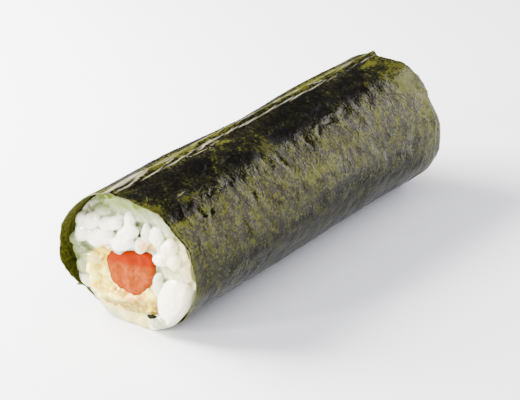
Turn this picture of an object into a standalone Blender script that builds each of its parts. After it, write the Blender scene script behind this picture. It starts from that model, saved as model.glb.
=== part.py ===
"""A temaki hand roll lying on its side.

A sheet of nori is wound a little over one and a half times round a cylinder of rice. A bar of
salmon and a band of mayonnaise run through the rice from one open end to the other.

The roll's axis is X, +Z is up, and the origin is the middle of the underside of the bounding box.
A place on the roll is given by its turn, the angle from +Y towards +Z, and by its x.
"""
import math
import random

import bmesh
import bpy
from mathutils import Matrix, Vector

MM = 0.001

# The roll: its outer envelope, slightly slimmer at the far end, with a narrow strip pressed flat.
HALF_LENGTH = 50.0 * MM
HALF_WIDTH_NEAR = 17.5 * MM
HALF_WIDTH_FAR = 16.85 * MM
HALF_HEIGHT_NEAR = 17.55 * MM
HALF_HEIGHT_FAR = 17.4 * MM
FLAT_DROP = 0.9 * MM
# The near end bulges towards +Y, less and less over this share of the roll's length.
NEAR_BULGE = 1.1 * MM
NEAR_BULGE_SHARE = 0.5

# The nori: turns of its hidden inner edge and of its outer edge, both counted on from +Y.
SHEET = 0.4 * MM
LAYER_GAP = 0.15 * MM
INNER_EDGE_TURN = 77.0
OUTER_EDGE_TURN = 686.0
FINE_STEP = 4.5
FINE_REACH = 20.0
COARSE_STEP = 9.0
SHEET_ROWS = 14

# Where the sheet starts to rise from the lower layer, and where it has reached the upper one.
CLIMB_TURNS = (340.0, 434.0)
# Where the lower layer's own rims end, and where the upper layer's own rims begin.
LOWER_RIM_TURNS = (300.0, 340.0)
UPPER_RIM_TURNS = (497.0, 522.0)

# The crease where the sheet climbs over its own inner edge, along the top of the roll.
CREASE_TURN = 78.0
CREASE_SPREAD = 5.0
CREASE_HEIGHT = 0.85 * MM
CREASE_WANDER = 2.5
CREASE_SWAYS = ((1.0, 13.0 * MM, 0.0), (0.5, 5.1 * MM, 1.0))
CREASE_STRAIGHTENS = (-25.0 * MM, 20.0 * MM)
# Behind the crease the sheet stands off its lower layer, but for a dip around the middle.
SHOULDER = 0.5 * MM
SHOULDER_TURN = 58.0
SHOULDER_SPREAD = 14.0
SHOULDER_DIP = 0.8
SHOULDER_DIP_AT = 4.0 * MM
SHOULDER_DIP_LENGTH = 13.0 * MM

# Soft waves of the sheet: height, waves round the roll, length of a radian along it, and start.
WAVES = ((0.16 * MM, 5, 11.0 * MM, 0.0), (0.12 * MM, 9, -7.0 * MM, 2.0))
TOP_TURN = 90.0
RESTING_FROM_TOP = (128.0, 155.0)

# The rims of the sheet: a skewed near rim, and a far rim with the inner layer peeping out.
NEAR_SKEW_SIDE = 3.3 * MM
NEAR_SKEW_TOP = 1.2 * MM
# Underneath, the near rim keeps back behind the rice: turns between which it draws back and returns.
NEAR_RETREAT = 2.2 * MM
NEAR_RETREAT_TURNS = (205.0, 245.0, 312.0, 324.0)
LOWER_SETBACK = 0.8 * MM
FAR_SKEW_SIDE = -0.6 * MM
FAR_SKEW_TOP = -0.35 * MM
# A shallow notch of the far rim, beside the crease.
FAR_NOTCH = 1.2 * MM
FAR_NOTCH_TURN = 86.0
FAR_NOTCH_SPREAD = 10.0
PEEP = 1.5 * MM
PEEP_TURN = 195.0
PEEP_SPREAD = 42.0
FLARE = 1.3 * MM
FLARE_TURN = 213.0
FLARE_SPREAD = 26.0
FLARE_LENGTH = 26.0 * MM
RAGGED = 0.22 * MM
NEAR_RAGS = ((7, 0.0), (12, 1.3))
FAR_RAGS = ((6, 0.7), (11, 0.0))

# The rice and its two uneven end faces.
CLEARANCE = 0.3 * MM
RICE_DEPTH = 2 * SHEET + LAYER_GAP + CLEARANCE
RICE_SIDES = 44
RICE_CUTS = 2
NEAR_FACE = -48.75 * MM
NEAR_FACE_PER_Y = -0.088
NEAR_FACE_PER_Z = 0.065
FAR_FACE = 48.7 * MM
FAR_FACE_PER_Y = 0.02
FAR_FACE_PER_Z = -0.02
CORE_INSET = 1.3 * MM

# Cooked short grains, and the pressed clumps as (y, z) of the middle, half sizes and lean.
GRAIN_LENGTH = (5.6 * MM, 6.9 * MM)
GRAIN_WIDTH = (3.3 * MM, 4.1 * MM)
GRAIN_FLATNESS = (0.82, 0.95)
GRAIN_PITCH = 2.9 * MM
GRAIN_ROW_SHARE = 0.87
GRAIN_FIRST_ROW = 0.4
GRAIN_STAGGER = 0.5
GRAIN_JITTER = 0.7 * MM
GRAIN_SINK = 0.55 * MM
GRAIN_SPREAD = 0.9 * MM
GRAIN_TILT = math.radians(38)
GRAIN_TRIES = 45
GRAIN_FREE_TRIES = 15
GRAIN_SEGMENTS = (6, 4)
GRAIN_GAP = 0.38 * MM
GRAIN_APART = 2.7 * MM
FILLING_GAP = 0.55 * MM
WALL_MARGIN = 1.5 * MM
WALL_HEADING_JITTER = 0.15
WALL_TILT_SHARE = 0.4
GRAIN_BULGE = 1.05
CLUMPS = (((-12.4, 10.5), (2.6, 3.4, 6.4), 14.0), ((-10.0, 21.9), (2.3, 2.3, 3.6), -33.0))
CLUMP_LIFT = 0.7 * MM
SEED = 11

# The filling: corners of each section as (y, z) in millimetres, counted from +Y towards +Z,
# and rounded by a smooth curve.
SALMON_CORNERS = ((8.0, 15.4), (3.3, 17.7), (-4.5, 19.2), (-5.6, 13.4), (-1.2, 7.6), (6.0, 8.9))
MAYO_CORNERS = ((-4.8, 9.8), (-5.2, 5.0), (-1.2, 3.2), (5.2, 3.0), (10.0, 4.4),
                (12.2, 9.0), (12.0, 13.8), (8.2, 16.8))
BAR_CUTS = 11
SALMON_SIDES = 18
MAYO_SIDES = 24
BAR_DRIFT = 0.45 * MM
BAR_WAVES = 1.3
BAR_WAVES_UP = 1.7
BAR_WAVES_UP_START = 1.0
CUTTER_OVERRUN = 6.0 * MM
LUMPS = 11
LUMP_RADIUS = (1.4 * MM, 2.3 * MM)
LUMP_SINK = 0.62
LUMP_FLATNESS = (0.85, 1.0)
LUMP_INWARD = (0.1 * MM, 1.2 * MM)
LUMPS_ROUND = 0.95
MAYO_DEPTH = 0.8 * MM


# Measures of the roll

def smooth_step(value, low, high):
    """Zero up to low, one from high, and a smooth rise between."""
    part = min(max((value - low) / (high - low), 0.0), 1.0)
    return part * part * (3.0 - 2.0 * part)


def envelope(turn, x):
    """The point (y, z) of the plain outer envelope and its outward direction."""
    along = min(max((x + HALF_LENGTH) / (2 * HALF_LENGTH), 0.0), 1.0)
    half_width = HALF_WIDTH_NEAR + (HALF_WIDTH_FAR - HALF_WIDTH_NEAR) * along
    half_height = HALF_HEIGHT_NEAR + (HALF_HEIGHT_FAR - HALF_HEIGHT_NEAR) * along
    cosine = math.cos(math.radians(turn))
    sine = math.sin(math.radians(turn))
    bulge = max(1.0 - along / NEAR_BULGE_SHARE, 0.0) ** 2
    half_width += NEAR_BULGE * bulge * max(cosine, 0.0) ** 2
    y = half_width * cosine
    z = half_height * (1.0 + sine) - FLAT_DROP
    if z <= 0.0:
        return y, 0.0, 0.0, -1.0
    outward = Vector((half_height * cosine, half_width * sine)).normalized()
    return y, z, outward.x, outward.y


def from_turn(turn, centre):
    """How far a turn is from a centre, the short way round, in degrees from -180 to 180."""
    return (turn - centre + 180.0) % 360.0 - 180.0


def hump(turn, centre, spread):
    """A rounded hump of height one at a centre round the roll."""
    return math.exp(-(from_turn(turn, centre) / spread) ** 2)


def crease(turn, x):
    """The height of the crease, which wanders at the near end and runs straight at the far end."""
    sway = sum(share * math.sin(x / length + start) for share, length, start in CREASE_SWAYS)
    wander = CREASE_WANDER * sway * (1.0 - smooth_step(x, *CREASE_STRAIGHTENS))
    return CREASE_HEIGHT * hump(turn, CREASE_TURN + wander, CREASE_SPREAD)


def shoulder(turn, x):
    """The height of the shoulder behind the crease."""
    dip = SHOULDER_DIP * math.exp(-((x - SHOULDER_DIP_AT) / SHOULDER_DIP_LENGTH) ** 2)
    return SHOULDER * hump(turn, SHOULDER_TURN, SHOULDER_SPREAD) * (1.0 - dip)


def lift(turn, x):
    """How far the sheet stands off the plain envelope: crease, shoulder, soft waves and far flare."""
    angle = math.radians(turn)
    waves = sum(height * math.sin(count * angle + x / length + start)
                for height, count, length, start in WAVES)
    flare = FLARE * hump(turn, FLARE_TURN, FLARE_SPREAD)
    flare *= smooth_step(x, HALF_LENGTH - FLARE_LENGTH, HALF_LENGTH)
    resting = smooth_step(abs(from_turn(turn, TOP_TURN)), *RESTING_FROM_TOP)
    return (crease(turn, x) + shoulder(turn, x) + waves + flare) * (1.0 - resting)


def roll_point(turn, x, depth, lifted):
    """A point at some depth under the envelope, on the lifted sheet or on the plain form."""
    y, z, out_y, out_z = envelope(turn, x)
    reach = (lift(turn, x) if lifted else 0.0) - depth
    return Vector((x, y + out_y * reach, z + out_z * reach))


def rags(turn, waves):
    """The small ragged waves of a rim."""
    return RAGGED * sum(math.sin(count * math.radians(turn) + start) for count, start in waves)


def near_rim(turn):
    """The x of the sheet's near rim at a turn."""
    angle = math.radians(turn)
    skew = NEAR_SKEW_SIDE * math.cos(angle) + NEAR_SKEW_TOP * math.sin(angle)
    starts, full, ends, gone = NEAR_RETREAT_TURNS
    window = smooth_step(turn % 360.0, starts, full) * (1.0 - smooth_step(turn % 360.0, ends, gone))
    return NEAR_RETREAT * window + rags(turn, NEAR_RAGS) - skew - HALF_LENGTH


def far_rim(turn):
    """The x of the sheet's far rim at a turn."""
    angle = math.radians(turn)
    skew = FAR_SKEW_SIDE * math.cos(angle) - FAR_SKEW_TOP * math.sin(angle)
    notch = FAR_NOTCH * hump(turn, FAR_NOTCH_TURN, FAR_NOTCH_SPREAD)
    return HALF_LENGTH + skew - notch + rags(turn, FAR_RAGS)


def near_face(y, z):
    """The x of the mean plane of the near end of the rice."""
    return NEAR_FACE + NEAR_FACE_PER_Y * y + NEAR_FACE_PER_Z * (z - HALF_HEIGHT_NEAR)


def far_face(y, z):
    """The x of the mean plane of the far end of the rice."""
    return FAR_FACE + FAR_FACE_PER_Y * y + FAR_FACE_PER_Z * (z - HALF_HEIGHT_FAR)


# Helpers

def clear_scene():
    """Remove every object that the file starts with."""
    for thing in list(bpy.data.objects):
        bpy.data.objects.remove(thing, do_unlink=True)


def new_collection(name):
    """A collection under the scene."""
    made = bpy.data.collections.new(name)
    bpy.context.scene.collection.children.link(made)
    return made


def new_material(name, colour, roughness):
    """A Principled material of one colour."""
    made = bpy.data.materials.new(name)
    made.use_nodes = True
    shader = made.node_tree.nodes["Principled BSDF"]
    shader.inputs["Base Color"].default_value = (*colour, 1.0)
    shader.inputs["Roughness"].default_value = roughness
    shader.inputs["Metallic"].default_value = 0.0
    return made


def add_object(name, shape, collection, material=None):
    """Turn a bmesh into an object with outward faces."""
    shape.normal_update()
    bmesh.ops.recalc_face_normals(shape, faces=shape.faces)
    mesh = bpy.data.meshes.new(name)
    shape.to_mesh(mesh)
    shape.free()
    made = bpy.data.objects.new(name, mesh)
    collection.objects.link(made)
    if material:
        mesh.materials.append(material)
    return made


def apply_modifiers(thing):
    """Keep the evaluated mesh of an object in place of its modifiers."""
    graph = bpy.context.evaluated_depsgraph_get()
    mesh = bpy.data.meshes.new_from_object(thing.evaluated_get(graph))
    thing.modifiers.clear()
    old = thing.data
    thing.data = mesh
    bpy.data.meshes.remove(old)


def cut(thing, cutter):
    """Subtract a cutter and keep the result."""
    modifier = thing.modifiers.new("cut", "BOOLEAN")
    modifier.operation = "DIFFERENCE"
    modifier.object = cutter
    modifier.solver = "EXACT"
    apply_modifiers(thing)


def fuse(thing, collection):
    """Join every object of a collection to one object, and remove the collection's objects."""
    modifier = thing.modifiers.new("fuse", "BOOLEAN")
    modifier.operation = "UNION"
    modifier.operand_type = "COLLECTION"
    modifier.collection = collection
    modifier.solver = "EXACT"
    apply_modifiers(thing)
    for loose in list(collection.objects):
        bpy.data.objects.remove(loose, do_unlink=True)
    bpy.data.collections.remove(collection)


def keep_main_body(thing):
    """Drop what is not connected to the largest body."""
    shape = bmesh.new()
    shape.from_mesh(thing.data)
    unseen = set(shape.verts)
    bodies = []
    while unseen:
        body = {unseen.pop()}
        front = list(body)
        while front:
            vert = front.pop()
            for edge in vert.link_edges:
                other = edge.other_vert(vert)
                if other in unseen:
                    unseen.remove(other)
                    body.add(other)
                    front.append(other)
        bodies.append(body)
    bodies.sort(key=len)
    for body in bodies[:-1]:
        bmesh.ops.delete(shape, geom=list(body), context="VERTS")
    bmesh.ops.triangulate(shape, faces=shape.faces)
    shape.to_mesh(thing.data)
    shape.free()


def unit_bar(sides, cuts):
    """A closed cylinder of radius one from z = 0 to z = 1, with rings of vertices along it."""
    shape = bmesh.new()
    bmesh.ops.create_cone(shape, cap_ends=True, segments=sides, radius1=1.0, radius2=1.0, depth=1.0)
    bmesh.ops.translate(shape, vec=(0.0, 0.0, 0.5), verts=shape.verts)
    lengthwise = [edge for edge in shape.edges if abs(edge.verts[0].co.z - edge.verts[1].co.z) > 0.5]
    bmesh.ops.subdivide_edges(shape, edges=lengthwise, cuts=cuts)
    caps = [face for face in shape.faces if len(face.verts) > 4]
    bmesh.ops.poke(shape, faces=caps)
    return shape


def rounded_outline(corners, part, grow):
    """A point (y, z) at part of the way round a smooth closed curve through corners."""
    count = len(corners)
    place = (part % 1.0) * count
    index = int(place)
    mix = place - index
    a, b, c, d = (Vector(corners[(index + step) % count]) for step in (-1, 0, 1, 2))
    point = 0.5 * (2 * b + (c - a) * mix + (2 * a - 5 * b + 4 * c - d) * mix ** 2
                   + (3 * b - a - 3 * c + d) * mix ** 3)
    tangent = 0.5 * ((c - a) + 2 * (2 * a - 5 * b + 4 * c - d) * mix
                     + 3 * (3 * b - a - 3 * c + d) * mix ** 2)
    outward = Vector((tangent.y, -tangent.x)).normalized()
    return (point + outward * grow / MM) * MM


def drift(t):
    """How far the filling wanders off its line at a part of the roll's length."""
    angle = 2 * math.pi * BAR_WAVES * t
    return Vector((math.sin(angle), math.sin(BAR_WAVES_UP * angle + BAR_WAVES_UP_START))) * BAR_DRIFT


def make_bar(name, corners, sides, grow, overrun, recess, collection, material=None):
    """A bar along the roll with the section of corners, its ends on the planes of the end faces.

    A cutter is such a bar grown by a gap, with one more ring past each end at the overrun.
    """
    extra = 1 if overrun else 0
    shape = unit_bar(sides, BAR_CUTS + 2 * extra)
    middle = sum((Vector(corner) for corner in corners), Vector((0.0, 0.0))) * MM / len(corners)
    for vert in shape.verts:
        ring = round(vert.co.z * (BAR_CUTS + 1 + 2 * extra)) - extra
        t = min(max(ring / (BAR_CUTS + 1), 0.0), 1.0)
        past = overrun * ((ring > BAR_CUTS + 1) - (ring < 0))
        if vert.co.xy.length < 0.5:
            point = middle
        else:
            point = rounded_outline(corners, math.atan2(vert.co.y, vert.co.x) / (2 * math.pi), grow)
        point = point + drift(t)
        low = near_face(point.x, point.y) + recess
        high = far_face(point.x, point.y) - recess
        vert.co = (low + (high - low) * t + past, point.x, point.y)
    return add_object(name, shape, collection, material)


def make_cutter(name, corners, sides, collection):
    """The bar that leaves a gap all round a filling, longer than the roll."""
    return make_bar(name, corners, sides, CLEARANCE, CUTTER_OVERRUN, 0.0, collection)


# Nori

def sheet_turns():
    """The turns at which the sheet has its columns, closer together round the crease."""
    turns = [INNER_EDGE_TURN]
    while turns[-1] < OUTER_EDGE_TURN - 1.0:
        here = turns[-1]
        close = abs(from_turn(here, CREASE_TURN)) < FINE_REACH
        turns.append(min(here + (FINE_STEP if close else COARSE_STEP), OUTER_EDGE_TURN))
    return turns


def sheet_place(turn, along):
    """The point of the sheet's outer face at a turn and a part of its width."""
    depth = (SHEET + LAYER_GAP) * (1.0 - smooth_step(turn, *CLIMB_TURNS))
    lower = 1.0 - smooth_step(turn, *LOWER_RIM_TURNS)
    upper = smooth_step(turn, *UPPER_RIM_TURNS)
    low = near_rim(turn) + LOWER_SETBACK * lower
    peep = PEEP * hump(turn, PEEP_TURN, PEEP_SPREAD)
    high = far_rim(turn) + peep * (lower - upper)
    return roll_point(turn, low + (high - low) * along, depth, lifted=True)


def make_nori(collection):
    """The wound sheet: a grid bent round the roll, given its thickness inwards."""
    turns = sheet_turns()
    shape = bmesh.new()
    bmesh.ops.create_grid(shape, x_segments=len(turns) - 1, y_segments=SHEET_ROWS, size=1.0)
    for vert in shape.verts:
        column = round((vert.co.x + 1.0) / 2.0 * (len(turns) - 1))
        along = (vert.co.y + 1.0) / 2.0
        vert.co = sheet_place(turns[column], along)
    bmesh.ops.triangulate(shape, faces=shape.faces)
    material = new_material("nori_green", (0.045, 0.055, 0.025), 0.5)
    nori = add_object("nori", shape, collection, material)
    turn_outwards(nori.data)
    solid = nori.modifiers.new("thickness", "SOLIDIFY")
    solid.thickness = SHEET
    solid.offset = -1.0
    return nori


def turn_outwards(mesh):
    """Flip an open sheet whose outermost face looks towards the axis."""
    face = max(mesh.polygons, key=lambda each: each.center.z)
    if face.normal.z < 0.0:
        mesh.flip_normals()


# Rice

def turn_of(y, z):
    """The turn at which a point lies, seen from the middle of the section."""
    return math.degrees(math.atan2((z + FLAT_DROP) / HALF_HEIGHT_NEAR - 1.0, y / HALF_WIDTH_NEAR)) % 360.0


def depth_of(point):
    """How deep a point lies under the plain envelope, less than zero outside it."""
    y, z, out_y, out_z = envelope(turn_of(point.y, point.z), point.x)
    return (y - point.y) * out_y + (z - point.z) * out_z


def inside_outline(point, corners, margin):
    """Whether a point lies within margin of a filling's section."""
    t = (point.x + HALF_LENGTH) / (2 * HALF_LENGTH)
    shift = drift(t)
    steps = 4 * len(corners)
    ring = [rounded_outline(corners, step / steps, margin) + shift for step in range(steps)]
    inside = False
    for here, after in zip(ring, ring[1:] + ring[:1]):
        if (here.y > point.z) != (after.y > point.z):
            crossing = here.x + (after.x - here.x) * (point.z - here.y) / (after.y - here.y)
            inside = inside != (point.y < crossing)
    return inside


def clear_of_others(point, end):
    """Whether a grain's point keeps its distance from the nori, the filling and the surface below."""
    if point.z < CLEARANCE:
        return False
    turn = turn_of(point.y, point.z)
    rim = near_rim(turn) if end < 0 else far_rim(turn) + PEEP
    past_rim = (point.x - rim) * end > GRAIN_GAP
    if not past_rim and depth_of(point) < RICE_DEPTH:
        return False
    beyond = (point.x - face_at(point.y, point.z, end)) * end
    lumps_reach = LUMP_RADIUS[1] * (1.0 - LUMP_SINK) + GRAIN_GAP
    if beyond < lumps_reach and inside_outline(point, MAYO_CORNERS, FILLING_GAP):
        return False
    return not (beyond < GRAIN_GAP and inside_outline(point, SALMON_CORNERS, FILLING_GAP))


def ellipsoid(centre, half_sizes, turned):
    """A low round form with few faces, turned and placed."""
    shape = bmesh.new()
    segments, rings = GRAIN_SEGMENTS
    bmesh.ops.create_uvsphere(shape, u_segments=segments, v_segments=rings, radius=1.0)
    place = Matrix.Translation(centre) @ turned @ Matrix.Diagonal((*half_sizes, 1.0))
    bmesh.ops.transform(shape, matrix=place, verts=shape.verts)
    return shape


def face_at(y, z, end):
    """The x of the mean plane of an end face, -1 for the near end and 1 for the far one."""
    return near_face(y, z) if end < 0 else far_face(y, z)


def beside_wall(place, end, depth):
    """The point (y, z) at some depth under the envelope, on the same turn as a place."""
    point = roll_point(turn_of(place.x, place.y), end * HALF_LENGTH, depth, lifted=False)
    return Vector((point.y, point.z))


def add_grain(place, end, draw, laid, collection):
    """One grain laid on an end face, moved or turned until it is clear, or left out.

    The later tries lie along the wall of nori beside them, as grains do when a roll is pressed.
    """
    along_wall = math.atan2(place.y - HALF_HEIGHT_NEAR, place.x) + math.pi / 2
    for attempt in range(GRAIN_TRIES):
        late = attempt >= GRAIN_FREE_TRIES
        length = draw.uniform(*GRAIN_LENGTH)
        width = draw.uniform(*GRAIN_WIDTH)
        half_sizes = Vector((length, width * draw.uniform(*GRAIN_FLATNESS), width)) / 2
        heading = draw.uniform(0.0, math.pi)
        tilt = draw.uniform(-GRAIN_TILT, GRAIN_TILT)
        if late:
            heading = along_wall + draw.uniform(-WALL_HEADING_JITTER, WALL_HEADING_JITTER)
            tilt *= WALL_TILT_SHARE
        lie = Matrix.Rotation(heading, 4, "X") @ Matrix.Rotation(tilt, 4, "Z")
        lie = lie @ Matrix.Rotation(math.pi / 2, 4, "Z")
        wall_depth = width * GRAIN_BULGE / 2 + draw.uniform(CLEARANCE, RICE_DEPTH + CLEARANCE)
        spot = beside_wall(place, end, wall_depth) if late else place
        x = face_at(spot.x, spot.y, end) + end * (draw.uniform(-1.0, 1.0) * GRAIN_SPREAD - GRAIN_SINK)
        centre = Vector((x, spot.x, spot.y))
        if any((centre - other).length < GRAIN_APART for other in laid):
            continue
        shape = ellipsoid(centre, half_sizes, lie)
        tested = [vert.co for vert in shape.verts]
        tested += [(edge.verts[0].co + edge.verts[1].co) / 2 for edge in shape.edges]
        if all(clear_of_others(centre + (point - centre) * GRAIN_BULGE, end) for point in tested):
            add_object("grain", shape, collection)
            laid.append(centre)
            return
        shape.free()


def lay_grains(collection):
    """Cover both end faces evenly with grains, on a staggered pattern with some jitter."""
    draw = random.Random(SEED)
    laid = []
    rows = int(2 * HALF_HEIGHT_NEAR / GRAIN_PITCH) + 2
    for end in (-1, 1):
        for row in range(rows):
            for column in range(-rows, rows):
                y = (column + GRAIN_STAGGER * (row % 2)) * GRAIN_PITCH
                y += draw.uniform(-1, 1) * GRAIN_JITTER
                z = (row + GRAIN_FIRST_ROW) * GRAIN_PITCH * GRAIN_ROW_SHARE
                z += draw.uniform(-1, 1) * GRAIN_JITTER
                if depth_of(Vector((end * HALF_LENGTH, y, z))) > WALL_MARGIN:
                    add_grain(Vector((y, z)), end, draw, laid, collection)


def press_clumps(collection):
    """The larger clumps where grains are pressed into one white mass at the near end."""
    for (y, z), half_sizes, lean in CLUMPS:
        centre = Vector((face_at(y * MM, z * MM, -1) - CLUMP_LIFT, y * MM, z * MM))
        turned = Matrix.Rotation(math.radians(lean), 4, "X")
        add_object("clump", ellipsoid(centre, Vector(half_sizes) * MM, turned), collection)


def make_rice(parts, cutters):
    """The rice: a moulded core with a channel for the filling, and grains on both ends."""
    shape = unit_bar(RICE_SIDES, RICE_CUTS)
    for vert in shape.verts:
        radius = vert.co.xy.length
        turn = math.degrees(math.atan2(vert.co.y, vert.co.x)) % 360.0
        middle = Vector((0.0, HALF_HEIGHT_NEAR - FLAT_DROP))
        x = HALF_LENGTH * (2.0 * vert.co.z - 1.0)
        rim = roll_point(turn, x, RICE_DEPTH, lifted=False)
        point = middle.lerp(Vector((rim.y, rim.z)), radius)
        low = near_face(point.x, point.y) + CORE_INSET
        high = far_face(point.x, point.y) - CORE_INSET
        vert.co = (low + (high - low) * vert.co.z, point.x, point.y)
    rice = add_object("rice", shape, parts, new_material("rice_white", (0.83, 0.83, 0.76), 0.35))
    cut(rice, make_cutter("mayo_channel", MAYO_CORNERS, MAYO_SIDES, cutters))
    cut(rice, make_cutter("salmon_channel", SALMON_CORNERS, SALMON_SIDES, cutters))
    grains = new_collection("grains")
    lay_grains(grains)
    press_clumps(grains)
    fuse(rice, grains)
    keep_main_body(rice)
    return rice


# Filling

def make_salmon(parts):
    """The bar of salmon, with a rounded uneven section and nearly flat ends."""
    material = new_material("salmon_flesh", (0.78, 0.24, 0.08), 0.35)
    return make_bar("salmon", SALMON_CORNERS, SALMON_SIDES, 0.0, 0.0, 0.0, parts, material)


def make_mayo(parts, cutters):
    """The mayonnaise round the lower left of the salmon, with soft lumps on its ends."""
    material = new_material("mayonnaise_cream", (0.86, 0.78, 0.42), 0.25)
    mayo = make_bar("mayo", MAYO_CORNERS, MAYO_SIDES, 0.0, 0.0, MAYO_DEPTH, parts, material)
    draw = random.Random(SEED + 1)
    lumps = new_collection("lumps")
    for end in (-1, 1):
        for index in range(LUMPS):
            radius = draw.uniform(*LUMP_RADIUS)
            inward = radius + draw.uniform(*LUMP_INWARD)
            part = LUMPS_ROUND * index / LUMPS
            spot = rounded_outline(MAYO_CORNERS, part, -inward) + drift((end + 1) / 2)
            centre = Vector((face_at(spot.x, spot.y, end) - end * radius * LUMP_SINK, spot.x, spot.y))
            half_sizes = Vector((radius, radius * draw.uniform(*LUMP_FLATNESS), radius))
            add_object("lump", ellipsoid(centre, half_sizes, Matrix.Identity(4)), lumps)
    fuse(mayo, lumps)
    cut(mayo, make_cutter("salmon_seat", SALMON_CORNERS, SALMON_SIDES, cutters))
    keep_main_body(mayo)
    return mayo


# Assembly

def centre_on_origin(things):
    """Move the whole roll so that the origin is the middle of the underside of its box."""
    graph = bpy.context.evaluated_depsgraph_get()
    points = [vert.co.copy() for thing in things for vert in thing.evaluated_get(graph).data.vertices]
    shift = Vector((0.0, 0.0, -min(point.z for point in points)))
    for axis in (0, 1):
        values = [point[axis] for point in points]
        shift[axis] = -(min(values) + max(values)) / 2
    for thing in things:
        thing.location = shift


def main():
    """Build the roll."""
    clear_scene()
    parts = new_collection("temaki_hand_roll")
    cutters = new_collection("cutters")
    things = [make_nori(parts), make_rice(parts, cutters), make_salmon(parts), make_mayo(parts, cutters)]
    for cutter in cutters.objects:
        cutter.hide_render = True
        cutter.display_type = "WIRE"
    centre_on_origin(things)


main()
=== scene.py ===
"""The looks of a temaki hand roll: toasted nori wound round rice, salmon and mayonnaise.

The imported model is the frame. Each of its four solids is replaced by a finer piece of the same form,
and the roll is shown on a pale floor under soft light. Lengths are metres unless a name says MM.
A place on the roll is given by its turn, the angle in degrees from +Y towards +Z, and by its x.
"""

import logging
import math
import random
from dataclasses import dataclass, replace
from enum import Enum
from typing import Any, Iterable

import bmesh
import bpy
import numpy as np
from mathutils import Euler, Matrix, Vector, noise


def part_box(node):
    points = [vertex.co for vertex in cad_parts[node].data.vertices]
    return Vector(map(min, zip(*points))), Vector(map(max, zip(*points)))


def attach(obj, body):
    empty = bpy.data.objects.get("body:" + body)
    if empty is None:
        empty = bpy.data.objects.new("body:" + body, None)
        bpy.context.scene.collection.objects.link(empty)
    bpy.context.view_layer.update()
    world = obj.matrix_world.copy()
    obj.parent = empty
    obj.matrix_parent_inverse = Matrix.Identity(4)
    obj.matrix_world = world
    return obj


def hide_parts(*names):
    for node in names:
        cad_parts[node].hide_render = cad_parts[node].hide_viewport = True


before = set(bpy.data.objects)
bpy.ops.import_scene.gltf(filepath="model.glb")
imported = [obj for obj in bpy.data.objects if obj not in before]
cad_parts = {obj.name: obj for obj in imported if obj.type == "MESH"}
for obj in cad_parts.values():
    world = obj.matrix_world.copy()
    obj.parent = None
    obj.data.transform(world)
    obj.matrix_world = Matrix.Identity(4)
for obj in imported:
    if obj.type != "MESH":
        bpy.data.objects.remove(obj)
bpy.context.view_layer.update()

MM = 0.001
LOG = logging.getLogger("temaki")


class End(Enum):
    """The two open ends of the roll, as the direction along X in which each looks."""

    NEAR = -1
    FAR = 1


# Small helpers

def linear(code: str) -> tuple[float, float, float, float]:
    """Turn an sRGB hex colour to linear light.

    Args:
        code: The colour as "#rrggbb".

    Returns:
        Linear red, green and blue, and an alpha of one.
    """
    shown = (int(code[start:start + 2], 16) / 255.0 for start in (1, 3, 5))
    red, green, blue = (v / 12.92 if v <= 0.04045 else ((v + 0.055) / 1.055) ** 2.4 for v in shown)
    return red, green, blue, 1.0


def smooth_step(value: Any, low: float, high: float) -> Any:
    """Rise smoothly from zero at low to one at high.

    Args:
        value: A number or an array.
        low: Where the rise starts.
        high: Where it ends.

    Returns:
        Numbers from zero to one, shaped like value.
    """
    part = np.clip((value - low) / (high - low), 0.0, 1.0)
    return part * part * (3.0 - 2.0 * part)


def from_turn(turn: Any, centre: float) -> Any:
    """Return how far a turn is from a centre, the short way round, in degrees."""
    return (turn - centre + 180.0) % 360.0 - 180.0


def hump(turn: Any, centre: Any, spread: float) -> Any:
    """Return a rounded hump of height one at a centre round the roll."""
    return np.exp(-(from_turn(turn, centre) / spread) ** 2)


def noise_at(points: np.ndarray, size: float, octaves: int = 2, seed: float = 0.0) -> np.ndarray:
    """Read a soft noise of about -1 to 1 at many points.

    Args:
        points: An array of points whose last axis is x, y and z.
        size: The length of one wave of the coarsest octave.
        octaves: How many octaves are added.
        seed: Shifts the noise to another place.

    Returns:
        One number a point.
    """
    flat = points.reshape(-1, 3) / size + seed
    values = [noise.fractal(Vector(point), 1.0, 2.0, octaves) for point in flat]
    return np.array(values).reshape(points.shape[:-1])


def add_node(tree: bpy.types.NodeTree, kind: str, settings: dict[str, Any] | None = None,
             values: dict[Any, Any] | None = None, links: dict[Any, Any] | None = None) -> bpy.types.Node:
    """Add a node with its settings and links.

    Args:
        tree: The tree that gets the node.
        kind: The node's type name.
        settings: Properties of the node.
        values: Input sockets, by name or number, and their values.
        links: Input sockets, by name or number, and the output sockets that feed them.

    Returns:
        The node.
    """
    node = tree.nodes.new(kind)
    for name, value in (settings or {}).items():
        setattr(node, name, value)
    for name, value in (values or {}).items():
        node.inputs[name].default_value = value
    for name, source in (links or {}).items():
        tree.links.new(source, node.inputs[name])
    return node


def new_tree(name: str) -> tuple[bpy.types.Material, bpy.types.NodeTree]:
    """Make an empty node material and return it with its tree."""
    made = bpy.data.materials.new(name)
    made.use_nodes = True
    made.node_tree.nodes.clear()
    return made, made.node_tree


def add_object(name: str, points: np.ndarray, faces: Iterable[Iterable[int]]) -> bpy.types.Object:
    """Make a smooth-shaded mesh object.

    Args:
        name: The object's name.
        points: One row a vertex.
        faces: The vertex numbers of each face.

    Returns:
        The object, linked to the scene.
    """
    mesh = bpy.data.meshes.new(name)
    mesh.from_pydata(np.asarray(points).reshape(-1, 3).tolist(), [], [list(face) for face in faces])
    mesh.update()
    mesh.shade_smooth()
    made = bpy.data.objects.new(name, mesh)
    bpy.context.scene.collection.objects.link(made)
    return made


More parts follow.
